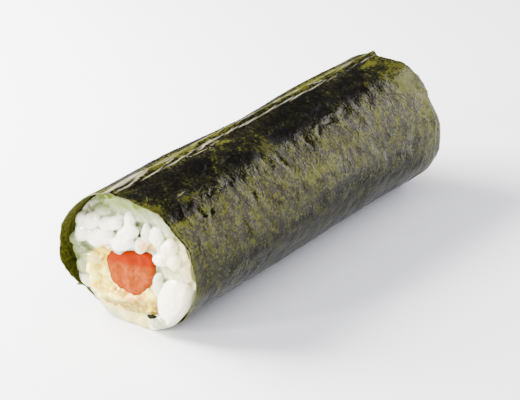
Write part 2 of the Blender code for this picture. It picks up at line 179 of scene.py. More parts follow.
def grid_faces(columns: int, rows: int, closed: bool = False) -> np.ndarray:
    """Return the quads of a grid of columns times rows, joined round its columns where closed."""
    last = columns if closed else columns - 1
    first, row = np.meshgrid(np.arange(last), np.arange(rows - 1), indexing="ij")
    after = (first + 1) % columns
    quads = (first * rows + row, after * rows + row, after * rows + row + 1, first * rows + row + 1)
    return np.stack(quads, axis=-1).reshape(-1, 4)


def bar_faces(sides: int, rings: int) -> list[tuple[int, ...]]:
    """Return the side quads of a closed bar, ring after ring."""
    faces = []
    for ring in range(rings - 1):
        for side in range(sides):
            after = (side + 1) % sides
            faces.append((ring * sides + side, ring * sides + after,
                          (ring + 1) * sides + after, (ring + 1) * sides + side))
    return faces


def evaluated_arrays(thing: bpy.types.Object) -> tuple[np.ndarray, list[tuple[int, ...]]]:
    """Read the points and faces of an object with its modifiers, then remove the object.

    Args:
        thing: The object.

    Returns:
        The points, one a row, and the faces.
    """
    graph = bpy.context.evaluated_depsgraph_get()
    mesh = bpy.data.meshes.new_from_object(thing.evaluated_get(graph))
    points = np.empty(len(mesh.vertices) * 3)
    mesh.vertices.foreach_get("co", points)
    faces = [tuple(face.vertices) for face in mesh.polygons]
    old = thing.data
    bpy.data.objects.remove(thing, do_unlink=True)
    bpy.data.meshes.remove(old)
    bpy.data.meshes.remove(mesh)
    return points.reshape(-1, 3), faces


def paint_points(mesh: bpy.types.Mesh, name: str, tints: np.ndarray) -> None:
    """Keep four numbers from zero to one at each vertex, as a colour attribute.

    Args:
        mesh: The mesh.
        name: The attribute's name.
        tints: One row of four numbers a vertex.
    """
    attribute = mesh.color_attributes.new(name, "FLOAT_COLOR", "POINT")
    attribute.data.foreach_set("color", np.clip(tints, 0.0, 1.0).astype(np.float32).ravel())


# The form that all pieces share

@dataclass(frozen=True)
class Fold:
    """A narrow ridge, or a groove where its height is below zero, on the sheet of nori.

    The last field is the strength, from zero to one, of a pale highlight painted along it, where its crease
    would catch the light.
    """

    turn: float
    x: float
    heading: float
    length: float
    height: float
    spread: float
    # Strength of the pale highlight painted along the fold.
    painted_highlight: float = 0.0


@dataclass(frozen=True)
class RollForm:
    """The roll's measures and its curved coordinates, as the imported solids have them."""

    half_length: float = 50.0 * MM
    half_width_near: float = 17.5 * MM
    half_width_far: float = 16.85 * MM
    half_height_near: float = 17.55 * MM
    half_height_far: float = 17.4 * MM
    near_bulge: float = 1.1 * MM
    near_bulge_share: float = 0.5
    flat_drop: float = 0.9 * MM
    crease_turn: float = 78.0
    crease_spread: float = 5.0
    crease_height: float = 0.85 * MM
    crease_wander: float = 2.5
    crease_sways: tuple[tuple[float, float, float], ...] = ((1.0, 13.0 * MM, 0.0), (0.5, 5.1 * MM, 1.0))
    crease_straightens: tuple[float, float] = (-25.0 * MM, 20.0 * MM)
    shoulder: float = 0.5 * MM
    shoulder_turn: float = 58.0
    shoulder_spread: float = 14.0
    shoulder_dip: float = 0.8
    shoulder_dip_at: float = 4.0 * MM
    shoulder_dip_length: float = 13.0 * MM
    waves: tuple[tuple[float, int, float, float], ...] = (
        (0.16 * MM, 5, 11.0 * MM, 0.0), (0.12 * MM, 9, -7.0 * MM, 2.0))
    resting_from_top: tuple[float, float] = (128.0, 155.0)
    near_skew_side: float = 3.3 * MM
    near_skew_top: float = 1.2 * MM
    near_retreat: float = 2.2 * MM
    near_retreat_turns: tuple[float, float, float, float] = (205.0, 245.0, 321.0, 326.5)
    far_skew_side: float = -0.6 * MM
    far_skew_top: float = -0.35 * MM
    far_notch: float = 1.2 * MM
    far_notch_turn: float = 86.0
    far_notch_spread: float = 10.0
    flare: float = 1.3 * MM
    flare_turn: float = 213.0
    flare_spread: float = 26.0
    flare_length: float = 26.0 * MM
    ragged: float = 0.22 * MM
    near_rags: tuple[tuple[int, float], ...] = ((7, 0.0), (12, 1.3))
    far_rags: tuple[tuple[int, float], ...] = ((6, 0.7), (11, 0.0))
    face_at_middle: tuple[float, float] = (-48.75 * MM, 48.7 * MM)
    face_per_y: tuple[float, float] = (-0.088, 0.02)
    face_per_z: tuple[float, float] = (0.065, -0.02)
    bar_drift: float = 0.45 * MM
    bar_waves: float = 1.3
    layer_step: float = 0.55 * MM
    climb_turns: tuple[float, float] = (340.0, 434.0)
    folds: tuple[Fold, ...] = ()

    def shift(self) -> Vector:
        """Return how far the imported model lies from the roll's own axis, from the nori's box."""
        turn = np.linspace(0.0, 360.0, 361)
        low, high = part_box("nori")
        x = low.x - self.near_rim(turn).min()
        edge_y = self.envelope(turn, self.near_rim(turn))[0]
        y = (low.y + high.y) / 2 - (edge_y.min() + edge_y.max()) / 2
        return Vector((x, y, 0.0))

    def envelope(self, turn: Any, x: Any) -> tuple[Any, Any, Any, Any]:
        """Read the plain outer envelope.

        Args:
            turn: The turns.
            x: The places along the roll.

        Returns:
            y, z and the outward direction's y and z.
        """
        along = np.clip((x + self.half_length) / (2 * self.half_length), 0.0, 1.0)
        half_width = self.half_width_near + (self.half_width_far - self.half_width_near) * along
        half_height = self.half_height_near + (self.half_height_far - self.half_height_near) * along
        cosine = np.cos(np.radians(turn))
        sine = np.sin(np.radians(turn))
        bulge = np.maximum(1.0 - along / self.near_bulge_share, 0.0) ** 2
        half_width = half_width + self.near_bulge * bulge * np.maximum(cosine, 0.0) ** 2
        z = half_height * (1.0 + sine) - self.flat_drop
        out_y = half_height * cosine
        out_z = half_width * sine
        length = np.hypot(out_y, out_z)
        resting = z <= 0.0
        return (half_width * cosine, np.where(resting, 0.0, z),
                np.where(resting, 0.0, out_y / length), np.where(resting, -1.0, out_z / length))

    def resting(self, turn: Any) -> Any:
        """Return one where the roll lies on the surface, and zero round the rest of it."""
        return smooth_step(np.abs(from_turn(turn, 90.0)), *self.resting_from_top)

    def layer_depth(self, turn: Any) -> Any:
        """Return how deep the sheet runs below its outer layer, at a turn counted from its inner edge."""
        return self.layer_step * (1.0 - smooth_step(turn, *self.climb_turns))

    def crease_line(self, x: Any) -> Any:
        """Return the turn of the crease along the top, where the sheet climbs over its own edge."""
        sway = sum(share * np.sin(x / length + start) for share, length, start in self.crease_sways)
        return self.crease_turn + self.crease_wander * sway * (1.0 - smooth_step(x, *self.crease_straightens))

    def fold_shapes(self, turn: Any, x: Any) -> tuple[Any, Any]:
        """Return the summed height of the narrow folds, and the strength of the pale highlight painted along
        them.

        Args:
            turn: The turns.
            x: The places along the roll.

        Returns:
            The heights, and the painted highlight strengths from zero to one.
        """
        radius = (self.half_width_near + self.half_height_near) / 2
        height = np.zeros_like(x)
        highlight_paint = np.zeros_like(x)
        for fold in self.folds:
            across = np.radians(from_turn(turn, fold.turn)) * radius
            along = x - fold.x * MM
            cosine = math.cos(math.radians(fold.heading))
            sine = math.sin(math.radians(fold.heading))
            way = along * cosine + across * sine
            aside = across * cosine - along * sine
            aside = aside + 0.35 * fold.spread * MM * np.sin(way / (0.9 * MM) + fold.x)
            ends = np.exp(-(way / (fold.length * MM / 2)) ** 4)
            height += fold.height * MM * ends * np.exp(-(aside / (fold.spread * MM)) ** 2)
            # A pale highlight is painted along the middle of each fold.
            line = ends * np.exp(-(aside / (0.6 * fold.spread * MM)) ** 2)
            highlight_paint = np.maximum(highlight_paint, fold.painted_highlight * line)
        return height, highlight_paint

    def lift(self, turn: Any, x: Any) -> Any:
        """Return how far the sheet stands off the plain envelope."""
        angle = np.radians(turn)
        waves = sum(height * np.sin(count * angle + x / length + start)
                    for height, count, length, start in self.waves)
        flare = self.flare * hump(turn, self.flare_turn, self.flare_spread)
        flare = flare * smooth_step(x, self.half_length - self.flare_length, self.half_length)
        dip = self.shoulder_dip * np.exp(-((x - self.shoulder_dip_at) / self.shoulder_dip_length) ** 2)
        shoulder = self.shoulder * hump(turn, self.shoulder_turn, self.shoulder_spread) * (1.0 - dip)
        crease = self.crease_height * hump(turn, self.crease_line(x), self.crease_spread)
        return (crease + shoulder + waves + flare) * (1.0 - self.resting(turn))

    def points(self, turn: Any, x: Any, reach: Any) -> np.ndarray:
        """Place points on the roll.

        Args:
            turn: Their turns.
            x: Their places along the roll.
            reach: How far each lies outside the plain envelope, below zero inside it.

        Returns:
            An array whose last axis is x, y and z.
        """
        y, z, out_y, out_z = self.envelope(turn, x)
        return np.stack((x + 0.0 * y, y + out_y * reach, z + out_z * reach), axis=-1)

    def rags(self, turn: Any, waves: tuple[tuple[int, float], ...]) -> Any:
        """Return the small ragged waves of a rim."""
        return self.ragged * sum(np.sin(count * np.radians(turn) + start) for count, start in waves)

    def near_rim(self, turn: Any) -> Any:
        """Return the x of the sheet's near rim."""
        angle = np.radians(turn)
        skew = self.near_skew_side * np.cos(angle) + self.near_skew_top * np.sin(angle)
        starts, full, ends, gone = self.near_retreat_turns
        window = smooth_step(turn % 360.0, starts, full) * (1.0 - smooth_step(turn % 360.0, ends, gone))
        return self.near_retreat * window + self.rags(turn, self.near_rags) - skew - self.half_length

    def far_rim(self, turn: Any) -> Any:
        """Return the x of the sheet's far rim."""
        angle = np.radians(turn)
        skew = self.far_skew_side * np.cos(angle) - self.far_skew_top * np.sin(angle)
        notch = self.far_notch * hump(turn, self.far_notch_turn, self.far_notch_spread)
        return self.half_length + skew - notch + self.rags(turn, self.far_rags)

    def rim(self, turn: Any, end: End) -> Any:
        """Return the x of the sheet's rim at one end."""
        return self.near_rim(turn) if end is End.NEAR else self.far_rim(turn)

    def face(self, y: Any, z: Any, end: End) -> Any:
        """Return the x of the mean plane of an end face of the rice."""
        index = 0 if end is End.NEAR else 1
        above = z - (self.half_height_near, self.half_height_far)[index]
        return self.face_at_middle[index] + self.face_per_y[index] * y + self.face_per_z[index] * above

    def turn_and_depth(self, points: np.ndarray) -> tuple[np.ndarray, np.ndarray]:
        """Find the turn of points and their depth under the plain envelope.

        Args:
            points: An array whose last axis is x, y and z.

        Returns:
            The turns, and the depths, below zero outside.
        """
        x, y, z = points[..., 0], points[..., 1], points[..., 2]
        high = (z + self.flat_drop) / self.half_height_near - 1.0
        turn = np.degrees(np.arctan2(high, y / self.half_width_near)) % 360.0
        edge_y, edge_z, out_y, out_z = self.envelope(turn, x)
        return turn, (edge_y - y) * out_y + (edge_z - z) * out_z

    def drift(self, x: Any) -> tuple[Any, Any]:
        """Return how far the filling wanders off its line, in y and z."""
        t = np.clip((x + self.half_length) / (2 * self.half_length), 0.0, 1.0)
        angle = 2 * math.pi * self.bar_waves * t
        return np.sin(angle) * self.bar_drift, np.sin(1.7 * angle + 1.0) * self.bar_drift


@dataclass(frozen=True)
class Outline:
    """A filling's section: corners (y, z) in millimetres, rounded by a smooth closed curve."""

    corners: tuple[tuple[float, float], ...]

    def at(self, part: Any, grow: float = 0.0) -> np.ndarray:
        """Read points of the outline.

        Args:
            part: Parts of the way round, from zero to one.
            grow: How far outside the outline the points lie.

        Returns:
            An array whose last axis is y and z.
        """
        corners = np.array(self.corners)
        count = len(corners)
        place = (np.asarray(part) % 1.0) * count
        index = np.floor(place).astype(int)
        mix = (place - index)[..., None]
        a, b, c, d = (corners[(index + step) % count] for step in (-1, 0, 1, 2))
        point = 0.5 * (2 * b + (c - a) * mix + (2 * a - 5 * b + 4 * c - d) * mix ** 2
                       + (3 * b - a - 3 * c + d) * mix ** 3)
        slope = 0.5 * ((c - a) + 2 * (2 * a - 5 * b + 4 * c - d) * mix
                       + 3 * (3 * b - a - 3 * c + d) * mix ** 2)
        outward = np.stack((slope[..., 1], -slope[..., 0]), axis=-1)
        outward /= np.linalg.norm(outward, axis=-1, keepdims=True)
        return point * MM + outward * grow

    def distance(self, y: np.ndarray, z: np.ndarray) -> np.ndarray:
        """Return how far points lie outside the outline, below zero inside it.

        Args:
            y: Their y.
            z: Their z.

        Returns:
            One length a point.
        """
        ring = self.at(np.arange(96) / 96)
        after = np.roll(ring, -1, axis=0)
        near = np.full(y.shape, np.inf)
        inside = np.zeros(y.shape, dtype=bool)
        for (ay, az), (by, bz) in zip(ring, after):
            span_y, span_z = by - ay, bz - az
            share = ((y - ay) * span_y + (z - az) * span_z) / (span_y ** 2 + span_z ** 2)
            share = np.clip(share, 0.0, 1.0)
            near = np.minimum(near, np.hypot(y - ay - share * span_y, z - az - share * span_z))
            crosses = (az > z) != (bz > z)
            beside = y < ay + span_y * (z - az) / (span_z if span_z else 1e-12)
            inside ^= crosses & beside
        return np.where(inside, -near, near)


SALMON = Outline(((8.0, 15.4), (3.3, 17.7), (-4.5, 19.2), (-5.6, 13.4), (-1.2, 7.6), (6.0, 8.9)))
MAYO = Outline(((-4.8, 9.8), (-5.2, 5.0), (-1.2, 3.2), (5.2, 3.0), (10.0, 4.4),
                (12.2, 9.0), (12.0, 13.8), (8.2, 16.8)))


# Finishes

@dataclass(frozen=True)
class ToastedNori:
    """Nori: red alga shredded, dried on a mat and toasted; here its smooth, satin outer face.

    Overlapping fronds make a dark green sheet with a fibrous mottle. Where few fronds overlap, it is
    thin, yellow-green and duller; where many do, it is nearly black and has a silvery sheen.
    """

    ground: str = "#050404"
    ground_green: str = "#0b0b06"
    frond: str = "#101008"
    thin: str = "#38380f"
    frond_length: float = 1.2 * MM
    frond_width: float = 0.6 * MM
    frond_turns: tuple[float, ...] = (0.5, -0.6, 1.45)
    fleck: float = 0.7 * MM
    patch: float = 3.0 * MM
    relief: float = 0.028 * MM
    facet: float = 3.2 * MM
    facet_relief: float = 0.08 * MM
    wrinkle_pitch: float = 6.5 * MM
    wrinkle_sway: float = 2.5 * MM
    wrinkle_relief: float = 0.1 * MM
    roughness_dense: float = 0.16
    roughness_thin: float = 0.24
    gloss_dense: float = 0.24
    gloss_thin: float = 0.5
    dull_roughness: float = 0.3
    gloss_tint: str = "#fbff3c"
    gloss_ground: str = "#fff2c0"
    # Colour of the pale highlight painted along the crest and the folds.
    highlight_paint: str = "#807b69"
    ior: float = 1.42

    def make(self) -> bpy.types.Material:
        """Build the material of the outer face."""
        made, tree = new_tree("toasted_nori_satin_face")
        place = add_node(tree, "ShaderNodeUVMap", {"uv_map": "sheet"}).outputs[0]
        sparse = self.sparseness(tree, place)
        shown, green, light = (
            add_node(tree, "ShaderNodeMapRange", {"interpolation_type": "SMOOTHSTEP"},
                     {"From Min": low, "From Max": high}, {"Value": sparse}).outputs[0]
            for low, high in ((0.84, 0.93), (0.74, 0.86), (0.94, 1.05)))
        base = add_node(tree, "ShaderNodeMix", {"data_type": "RGBA"},
                        {6: linear(self.ground), 7: linear(self.ground_green)}, {0: green}).outputs[2]
        for share, tint in ((shown, self.frond), (light, self.thin)):
            base = add_node(tree, "ShaderNodeMix", {"data_type": "RGBA"}, {7: linear(tint)},
                            {0: share, 6: base}).outputs[2]
        # Pale highlight painted along the crest and the folds, broken into streaks.
        painted_highlight = add_node(tree, "ShaderNodeAttribute", {"attribute_name": "painted_highlight"}).outputs["Fac"]
        lay = add_node(tree, "ShaderNodeMapping", {"vector_type": "TEXTURE"},
                       {"Rotation": (0.0, 0.0, 0.12), "Scale": (0.4 * MM, 13 * MM, 1.0)}, {"Vector": place})
        streaks = add_node(tree, "ShaderNodeTexNoise", None, {"Scale": 1.0, "Detail": 2.0},
                           {"Vector": lay.outputs[0]}).outputs["Fac"]
        wrinkles = self.wrinkles(tree, place)
        highlight_share = add_node(tree, "ShaderNodeMath", {"operation": "ADD"}, None, {0: painted_highlight, 1: streaks}).outputs[0]
        highlight_share = add_node(tree, "ShaderNodeMapRange", {"interpolation_type": "SMOOTHSTEP"},
                        {"From Min": 1.0, "From Max": 1.3}, {"Value": highlight_share}).outputs[0]
        base = add_node(tree, "ShaderNodeMix", {"data_type": "RGBA"}, {7: linear(self.highlight_paint)},
                        {0: highlight_share, 6: base}).outputs[2]
        rough, gloss = (add_node(tree, "ShaderNodeMapRange", None, {"To Min": low, "To Max": high},
                                 {"Value": shown}).outputs[0]
                        for low, high in ((self.roughness_dense, self.roughness_thin),
                                          (self.gloss_dense, self.gloss_thin)))
        sheen = add_node(tree, "ShaderNodeAttribute", {"attribute_name": "sheen"}).outputs["Fac"]
        gloss = add_node(tree, "ShaderNodeMath", {"operation": "MULTIPLY"}, None,
                         {0: gloss, 1: sheen}).outputs[0]
        dull = add_node(tree, "ShaderNodeMapRange", None,
                        {"From Min": 1.0, "From Max": 0.0, "To Min": 0.0, "To Max": self.dull_roughness},
                        {"Value": sheen}).outputs[0]
        rough = add_node(tree, "ShaderNodeMath", {"operation": "ADD"}, None, {0: rough, 1: dull}).outputs[0]
        facets = add_node(tree, "ShaderNodeTexNoise", None,
                          {"Scale": 1 / self.facet, "Detail": 3.0, "Roughness": 0.5},
                          {"Vector": place}).outputs["Fac"]
        bump = add_node(tree, "ShaderNodeBump", None, {"Strength": 1.0, "Distance": 4 * self.facet_relief},
                        {"Height": facets}).outputs[0]
        bump = add_node(tree, "ShaderNodeBump", None, {"Strength": 1.0, "Distance": self.wrinkle_relief},
                        {"Height": wrinkles, "Normal": bump}).outputs[0]
        bump = add_node(tree, "ShaderNodeBump", None, {"Strength": 1.0, "Distance": 4 * self.relief},
                        {"Height": sparse, "Normal": bump}).outputs[0]
        tint = add_node(tree, "ShaderNodeMix", {"data_type": "RGBA"},
                        {6: linear(self.gloss_ground), 7: linear(self.gloss_tint)}, {0: shown}).outputs[2]
        shader = add_node(tree, "ShaderNodeBsdfPrincipled", None, {"IOR": self.ior},
                          {"Base Color": base, "Roughness": rough, "Normal": bump,
                           "Specular IOR Level": gloss, "Specular Tint": tint})
        add_node(tree, "ShaderNodeOutputMaterial", links={"Surface": shader.outputs[0]})
        return made

    def wrinkles(self, tree: bpy.types.NodeTree, place: bpy.types.NodeSocket) -> bpy.types.NodeSocket:
        """Add the nodes of the hair-fine wrinkles that cross the sheet here and there.

        Args:
            tree: The material's tree.
            place: The flat sheet's coordinates.

        Returns:
            A value of one on a wrinkle and zero beside it.
        """
        sway = add_node(tree, "ShaderNodeTexNoise", None, {"Scale": 1 / self.wrinkle_sway, "Detail": 3.0},
                        {"Vector": place}).outputs["Color"]
        bent = add_node(tree, "ShaderNodeVectorMath", {"operation": "MULTIPLY_ADD"},
                        {1: (self.wrinkle_sway,) * 3}, {0: sway, 2: place}).outputs[0]
        beside = add_node(tree, "ShaderNodeTexVoronoi", {"feature": "DISTANCE_TO_EDGE"},
                          {"Scale": 1 / self.wrinkle_pitch}, {"Vector": bent}).outputs["Distance"]
        line = add_node(tree, "ShaderNodeMapRange", {"interpolation_type": "SMOOTHSTEP"},
                        {"From Min": 0.045, "From Max": 0.0}, {"Value": beside}).outputs[0]
        where = add_node(tree, "ShaderNodeTexNoise", None, {"Scale": 1 / self.wrinkle_pitch, "Detail": 2.0},
                         {"Vector": place}).outputs["Fac"]
        where = add_node(tree, "ShaderNodeMapRange", {"interpolation_type": "SMOOTHSTEP"},
                         {"From Min": 0.5, "From Max": 0.62}, {"Value": where}).outputs[0]
        return add_node(tree, "ShaderNodeMath", {"operation": "MULTIPLY"}, None,
                        {0: line, 1: where}).outputs[0]

    def sparseness(self, tree: bpy.types.NodeTree, place: bpy.types.NodeSocket) -> bpy.types.NodeSocket:
        """Add the nodes that say how sparsely the fronds lie.

        Args:
            tree: The material's tree.
            place: The flat sheet's coordinates.

        Returns:
            A value of about 0.5 where many fronds overlap and 1 where there are few.
        """
        crossed = None
        for index, angle in enumerate(self.frond_turns):
            lay = add_node(tree, "ShaderNodeMapping", {"vector_type": "TEXTURE"},
                           {"Location": (3.7 * index, 3.7 * index, 0.0), "Rotation": (0.0, 0.0, angle),
                            "Scale": (self.frond_length, self.frond_width, 1.0)}, {"Vector": place})
            fronds = add_node(tree, "ShaderNodeTexNoise", None,
                              {"Scale": 1.0, "Detail": 3.0, "Roughness": 0.6, "Distortion": 0.5},
                              {"Vector": lay.outputs[0]}).outputs["Fac"]
            if crossed is None:
                crossed = fronds
            else:
                crossed = add_node(tree, "ShaderNodeMath", {"operation": "MAXIMUM"}, None,
                                   {0: crossed, 1: fronds}).outputs[0]
        thinness = add_node(tree, "ShaderNodeAttribute", {"attribute_name": "thinness"}).outputs["Fac"]
        total = add_node(tree, "ShaderNodeMath", {"operation": "MULTIPLY"}, {1: 0.16},
                         {0: thinness}).outputs[0]
        flecks, patches = (add_node(tree, "ShaderNodeTexNoise", None,
                                    {"Scale": 1 / size, "Detail": detail, "Roughness": 0.65},
                                    {"Vector": place}).outputs["Fac"]
                           for size, detail in ((self.fleck, 2.0), (self.patch, 3.0)))
        for value, share in ((patches, 0.58), (flecks, 0.67), (crossed, 0.45)):
            total = add_node(tree, "ShaderNodeMath", {"operation": "MULTIPLY_ADD"}, {1: share},
                             {0: value, 2: total}).outputs[0]
        return total


@dataclass(frozen=True)
class MoistNori:
    """The duller inner face of the nori, softened by the rice's moisture and lit through from outside."""

    dense: str = "#262606"
    thin: str = "#46480e"
    grain: float = 1.1 * MM
    relief: float = 0.12 * MM
    roughness: float = 0.75
    ior: float = 1.45

    def make(self) -> bpy.types.Material:
        """Build the material of the inner face."""
        made, tree = new_tree("moist_nori_inner_face")
        place = add_node(tree, "ShaderNodeUVMap", {"uv_map": "sheet"}).outputs[0]
        mottle = add_node(tree, "ShaderNodeTexNoise", None,
                          {"Scale": 1 / self.grain, "Detail": 4.0, "Roughness": 0.65},
                          {"Vector": place}).outputs["Fac"]
        share = add_node(tree, "ShaderNodeMapRange", {"interpolation_type": "SMOOTHSTEP"},
                         {"From Min": 0.38, "From Max": 0.66}, {"Value": mottle}).outputs[0]
        base = add_node(tree, "ShaderNodeMix", {"data_type": "RGBA"},
                        {6: linear(self.dense), 7: linear(self.thin)}, {0: share}).outputs[2]
        bump = add_node(tree, "ShaderNodeBump", None, {"Strength": 1.0, "Distance": self.relief},
                        {"Height": mottle}).outputs[0]
        shader = add_node(tree, "ShaderNodeBsdfPrincipled", None,
                          {"IOR": self.ior, "Roughness": self.roughness, "Specular IOR Level": 0.05},
                          {"Base Color": base, "Normal": bump})
        add_node(tree, "ShaderNodeOutputMaterial", links={"Surface": shader.outputs[0]})
        return made


@dataclass(frozen=True)
class CutNoriEdge:
    """The torn cut edge of the nori: thin, matt and yellow-green, as light comes through it."""

    dark: str = "#26280c"
    light: str = "#56591e"
    tooth: float = 0.8 * MM
    roughness: float = 0.6

    def make(self) -> bpy.types.Material:
        """Build the material of the rims."""
        made, tree = new_tree("cut_nori_edge")
        place = add_node(tree, "ShaderNodeTexCoord").outputs["Object"]
        mottle = add_node(tree, "ShaderNodeTexNoise", None, {"Scale": 1 / self.tooth, "Detail": 2.0},
                          {"Vector": place}).outputs["Fac"]
        base = add_node(tree, "ShaderNodeMix", {"data_type": "RGBA"},
                        {6: linear(self.dark), 7: linear(self.light)}, {0: mottle}).outputs[2]
        shader = add_node(tree, "ShaderNodeBsdfPrincipled", None, {"Roughness": self.roughness},
                          {"Base Color": base})
        add_node(tree, "ShaderNodeOutputMaterial", links={"Surface": shader.outputs[0]})
        return made


@dataclass(frozen=True)
class CookedRice:
    """Cooked short-grain rice, steamed and dressed with vinegar: sticky, moist and milky.

    Loose swollen grains are opaque white; pressed ones turn glassy. The glassy tint is also painted shade in
    the crevices between grains. The green tint is painted light shining through the nori onto the rice, and
    painted shade on the left; the cream tint is the mayonnaise soaked into the rice beside it, and painted
    shade on the right.
    """

    milky: str = "#fbf8e2"
    glassy: str = "#828a68"
    # Green of painted light through the nori, also used as painted shade on the left.
    painted_green: str = "#6a7a12"
    by_mayo: str = "#e6cf70"
    by_salmon: str = "#ecb052"
    speck: float = 1.5 * MM
    relief: float = 0.05 * MM
    depth: float = 0.5 * MM
    roughness: float = 0.13
    ior: float = 1.45

    def make(self) -> bpy.types.Material:
        """Build the material from the tints kept at the vertices."""
        made, tree = new_tree("cooked_vinegared_rice")
        tints = add_node(tree, "ShaderNodeAttribute", {"attribute_name": "tints"})
        parts = add_node(tree, "ShaderNodeSeparateColor", links={0: tints.outputs["Color"]})
        place = add_node(tree, "ShaderNodeTexCoord").outputs["Object"]
        cloud = add_node(tree, "ShaderNodeTexNoise", None,
                         {"Scale": 1 / self.speck, "Detail": 3.0, "Roughness": 0.6},
                         {"Vector": place}).outputs["Fac"]
        milk = add_node(tree, "ShaderNodeMath", {"operation": "MULTIPLY_ADD"}, {1: 0.5},
                        {0: cloud, 2: parts.outputs[0]}).outputs[0]
        milk = add_node(tree, "ShaderNodeMapRange", None, {"From Min": 0.32, "From Max": 1.05},
                        {"Value": milk}).outputs[0]
        base = add_node(tree, "ShaderNodeMix", {"data_type": "RGBA"},
                        {6: linear(self.glassy), 7: linear(self.milky)}, {0: milk}).outputs[2]
        for share, tint in ((parts.outputs[1], self.painted_green), (parts.outputs[2], self.by_mayo),
                            (tints.outputs["Alpha"], self.by_salmon)):
            base = add_node(tree, "ShaderNodeMix", {"data_type": "RGBA"}, {7: linear(tint)},
                            {0: share, 6: base}).outputs[2]
        bump = add_node(tree, "ShaderNodeBump", None, {"Strength": 0.6, "Distance": self.relief},
                        {"Height": cloud}).outputs[0]
        shader = add_node(tree, "ShaderNodeBsdfPrincipled", None,
                          {"IOR": self.ior, "Roughness": self.roughness,
                           "Subsurface Weight": 0.7, "Subsurface Radius": (1.0, 0.95, 0.75),
                           "Subsurface Scale": self.depth},
                          {"Base Color": base, "Normal": bump})
        add_node(tree, "ShaderNodeOutputMaterial", links={"Surface": shader.outputs[0]})
        return made


@dataclass(frozen=True)
class SalmonFlesh:
    """Salted, lightly cooked, moist salmon: deeper orange towards the top and the bottom of its section, and
    a paler mottled middle.
    """

    deep: str = "#802100"
    flesh: str = "#7e340b"
    pale: str = "#8c461c"
    flake: float = 1.3 * MM
    relief: float = 0.1 * MM
    depth: float = 1.0 * MM
    roughness: float = 0.25
    ior: float = 1.42

    def make(self) -> bpy.types.Material:
        """Build the material; the depth of colour follows a tint kept at the vertices."""
        made, tree = new_tree("moist_salmon_flesh")
        tints = add_node(tree, "ShaderNodeAttribute", {"attribute_name": "tints"})
        parts = add_node(tree, "ShaderNodeSeparateColor", links={0: tints.outputs["Color"]})
        place = add_node(tree, "ShaderNodeTexCoord").outputs["Object"]
        cloud = add_node(tree, "ShaderNodeTexNoise", None,
                         {"Scale": 1 / self.flake, "Detail": 3.0, "Roughness": 0.65, "Distortion": 0.6},
                         {"Vector": place}).outputs["Fac"]
        share = add_node(tree, "ShaderNodeMapRange", {"interpolation_type": "SMOOTHSTEP"},
                         {"From Min": 0.36, "From Max": 0.66}, {"Value": cloud}).outputs[0]
        base = add_node(tree, "ShaderNodeMix", {"data_type": "RGBA"},
                        {6: linear(self.flesh), 7: linear(self.pale)}, {0: share}).outputs[2]
        base = add_node(tree, "ShaderNodeMix", {"data_type": "RGBA"}, {7: linear(self.deep)},
                        {0: parts.outputs[0], 6: base}).outputs[2]
        bump = add_node(tree, "ShaderNodeBump", None, {"Strength": 0.7, "Distance": self.relief},
                        {"Height": cloud}).outputs[0]
        shader = add_node(tree, "ShaderNodeBsdfPrincipled", None,
                          {"IOR": self.ior, "Roughness": self.roughness, "Specular IOR Level": 0.02,
                           "Subsurface Weight": 0.4, "Subsurface Radius": (1.0, 0.4, 0.2),
                           "Subsurface Scale": self.depth},
                          {"Base Color": base, "Normal": bump})
        add_node(tree, "ShaderNodeOutputMaterial", links={"Surface": shader.outputs[0]})
        return made


@dataclass(frozen=True)
class Mayonnaise:
    """Egg mayonnaise with chopped bits: a glossy pale cream with soft yellow spots, and yellow painted shade
    in the hollows between its lumps.
    """

    cream: str = "#fff27c"
    yellow: str = "#e8c404"
    tan: str = "#988024"
    by_salmon: str = "#d8761c"
    spot: float = 2.2 * MM
    depth: float = 0.8 * MM
    roughness: float = 0.09
    ior: float = 1.47

    def make(self) -> bpy.types.Material:
        """Build the material of the mayonnaise."""
        made, tree = new_tree("egg_mayonnaise")
        tints = add_node(tree, "ShaderNodeAttribute", {"attribute_name": "tints"})
        parts = add_node(tree, "ShaderNodeSeparateColor", links={0: tints.outputs["Color"]})
        place = add_node(tree, "ShaderNodeTexCoord").outputs["Object"]
        cloud = add_node(tree, "ShaderNodeTexNoise", None,
                         {"Scale": 1 / self.spot, "Detail": 2.0, "Roughness": 0.6},
                         {"Vector": place}).outputs["Fac"]
        spots = add_node(tree, "ShaderNodeMapRange", {"interpolation_type": "SMOOTHSTEP"},
                         {"From Min": 0.53, "From Max": 0.68}, {"Value": cloud}).outputs[0]
        base = add_node(tree, "ShaderNodeMix", {"data_type": "RGBA"},
                        {6: linear(self.cream), 7: linear(self.tan)},
                        {0: parts.outputs[1]}).outputs[2]
        base = add_node(tree, "ShaderNodeMix", {"data_type": "RGBA"}, {7: linear(self.yellow)},
                        {0: spots, 6: base}).outputs[2]
        for share, tint in ((parts.outputs[0], self.yellow), (parts.outputs[2], self.by_salmon)):
            base = add_node(tree, "ShaderNodeMix", {"data_type": "RGBA"}, {7: linear(tint)},
                            {0: share, 6: base}).outputs[2]
        shader = add_node(tree, "ShaderNodeBsdfPrincipled", None,
                          {"IOR": self.ior, "Roughness": self.roughness,
                           "Subsurface Weight": 0.35, "Subsurface Radius": (1.0, 0.95, 0.6),
                           "Subsurface Scale": self.depth},
                          {"Base Color": base})
        add_node(tree, "ShaderNodeOutputMaterial", links={"Surface": shader.outputs[0]})
        return made


@dataclass(frozen=True)
class PaleTable:
    """A plain table top painted with matt white emulsion."""

    paint: str = "#f1f2f4"
    roughness: float = 0.6

    def make(self) -> bpy.types.Material:
        """Build the floor's material."""
        made, tree = new_tree("matt_white_paint")
        shader = add_node(tree, "ShaderNodeBsdfPrincipled", None,
                          {"Base Color": linear(self.paint), "Roughness": self.roughness,
                           "Specular IOR Level": 0.2})
        add_node(tree, "ShaderNodeOutputMaterial", links={"Surface": shader.outputs[0]})
        return made


# The pieces

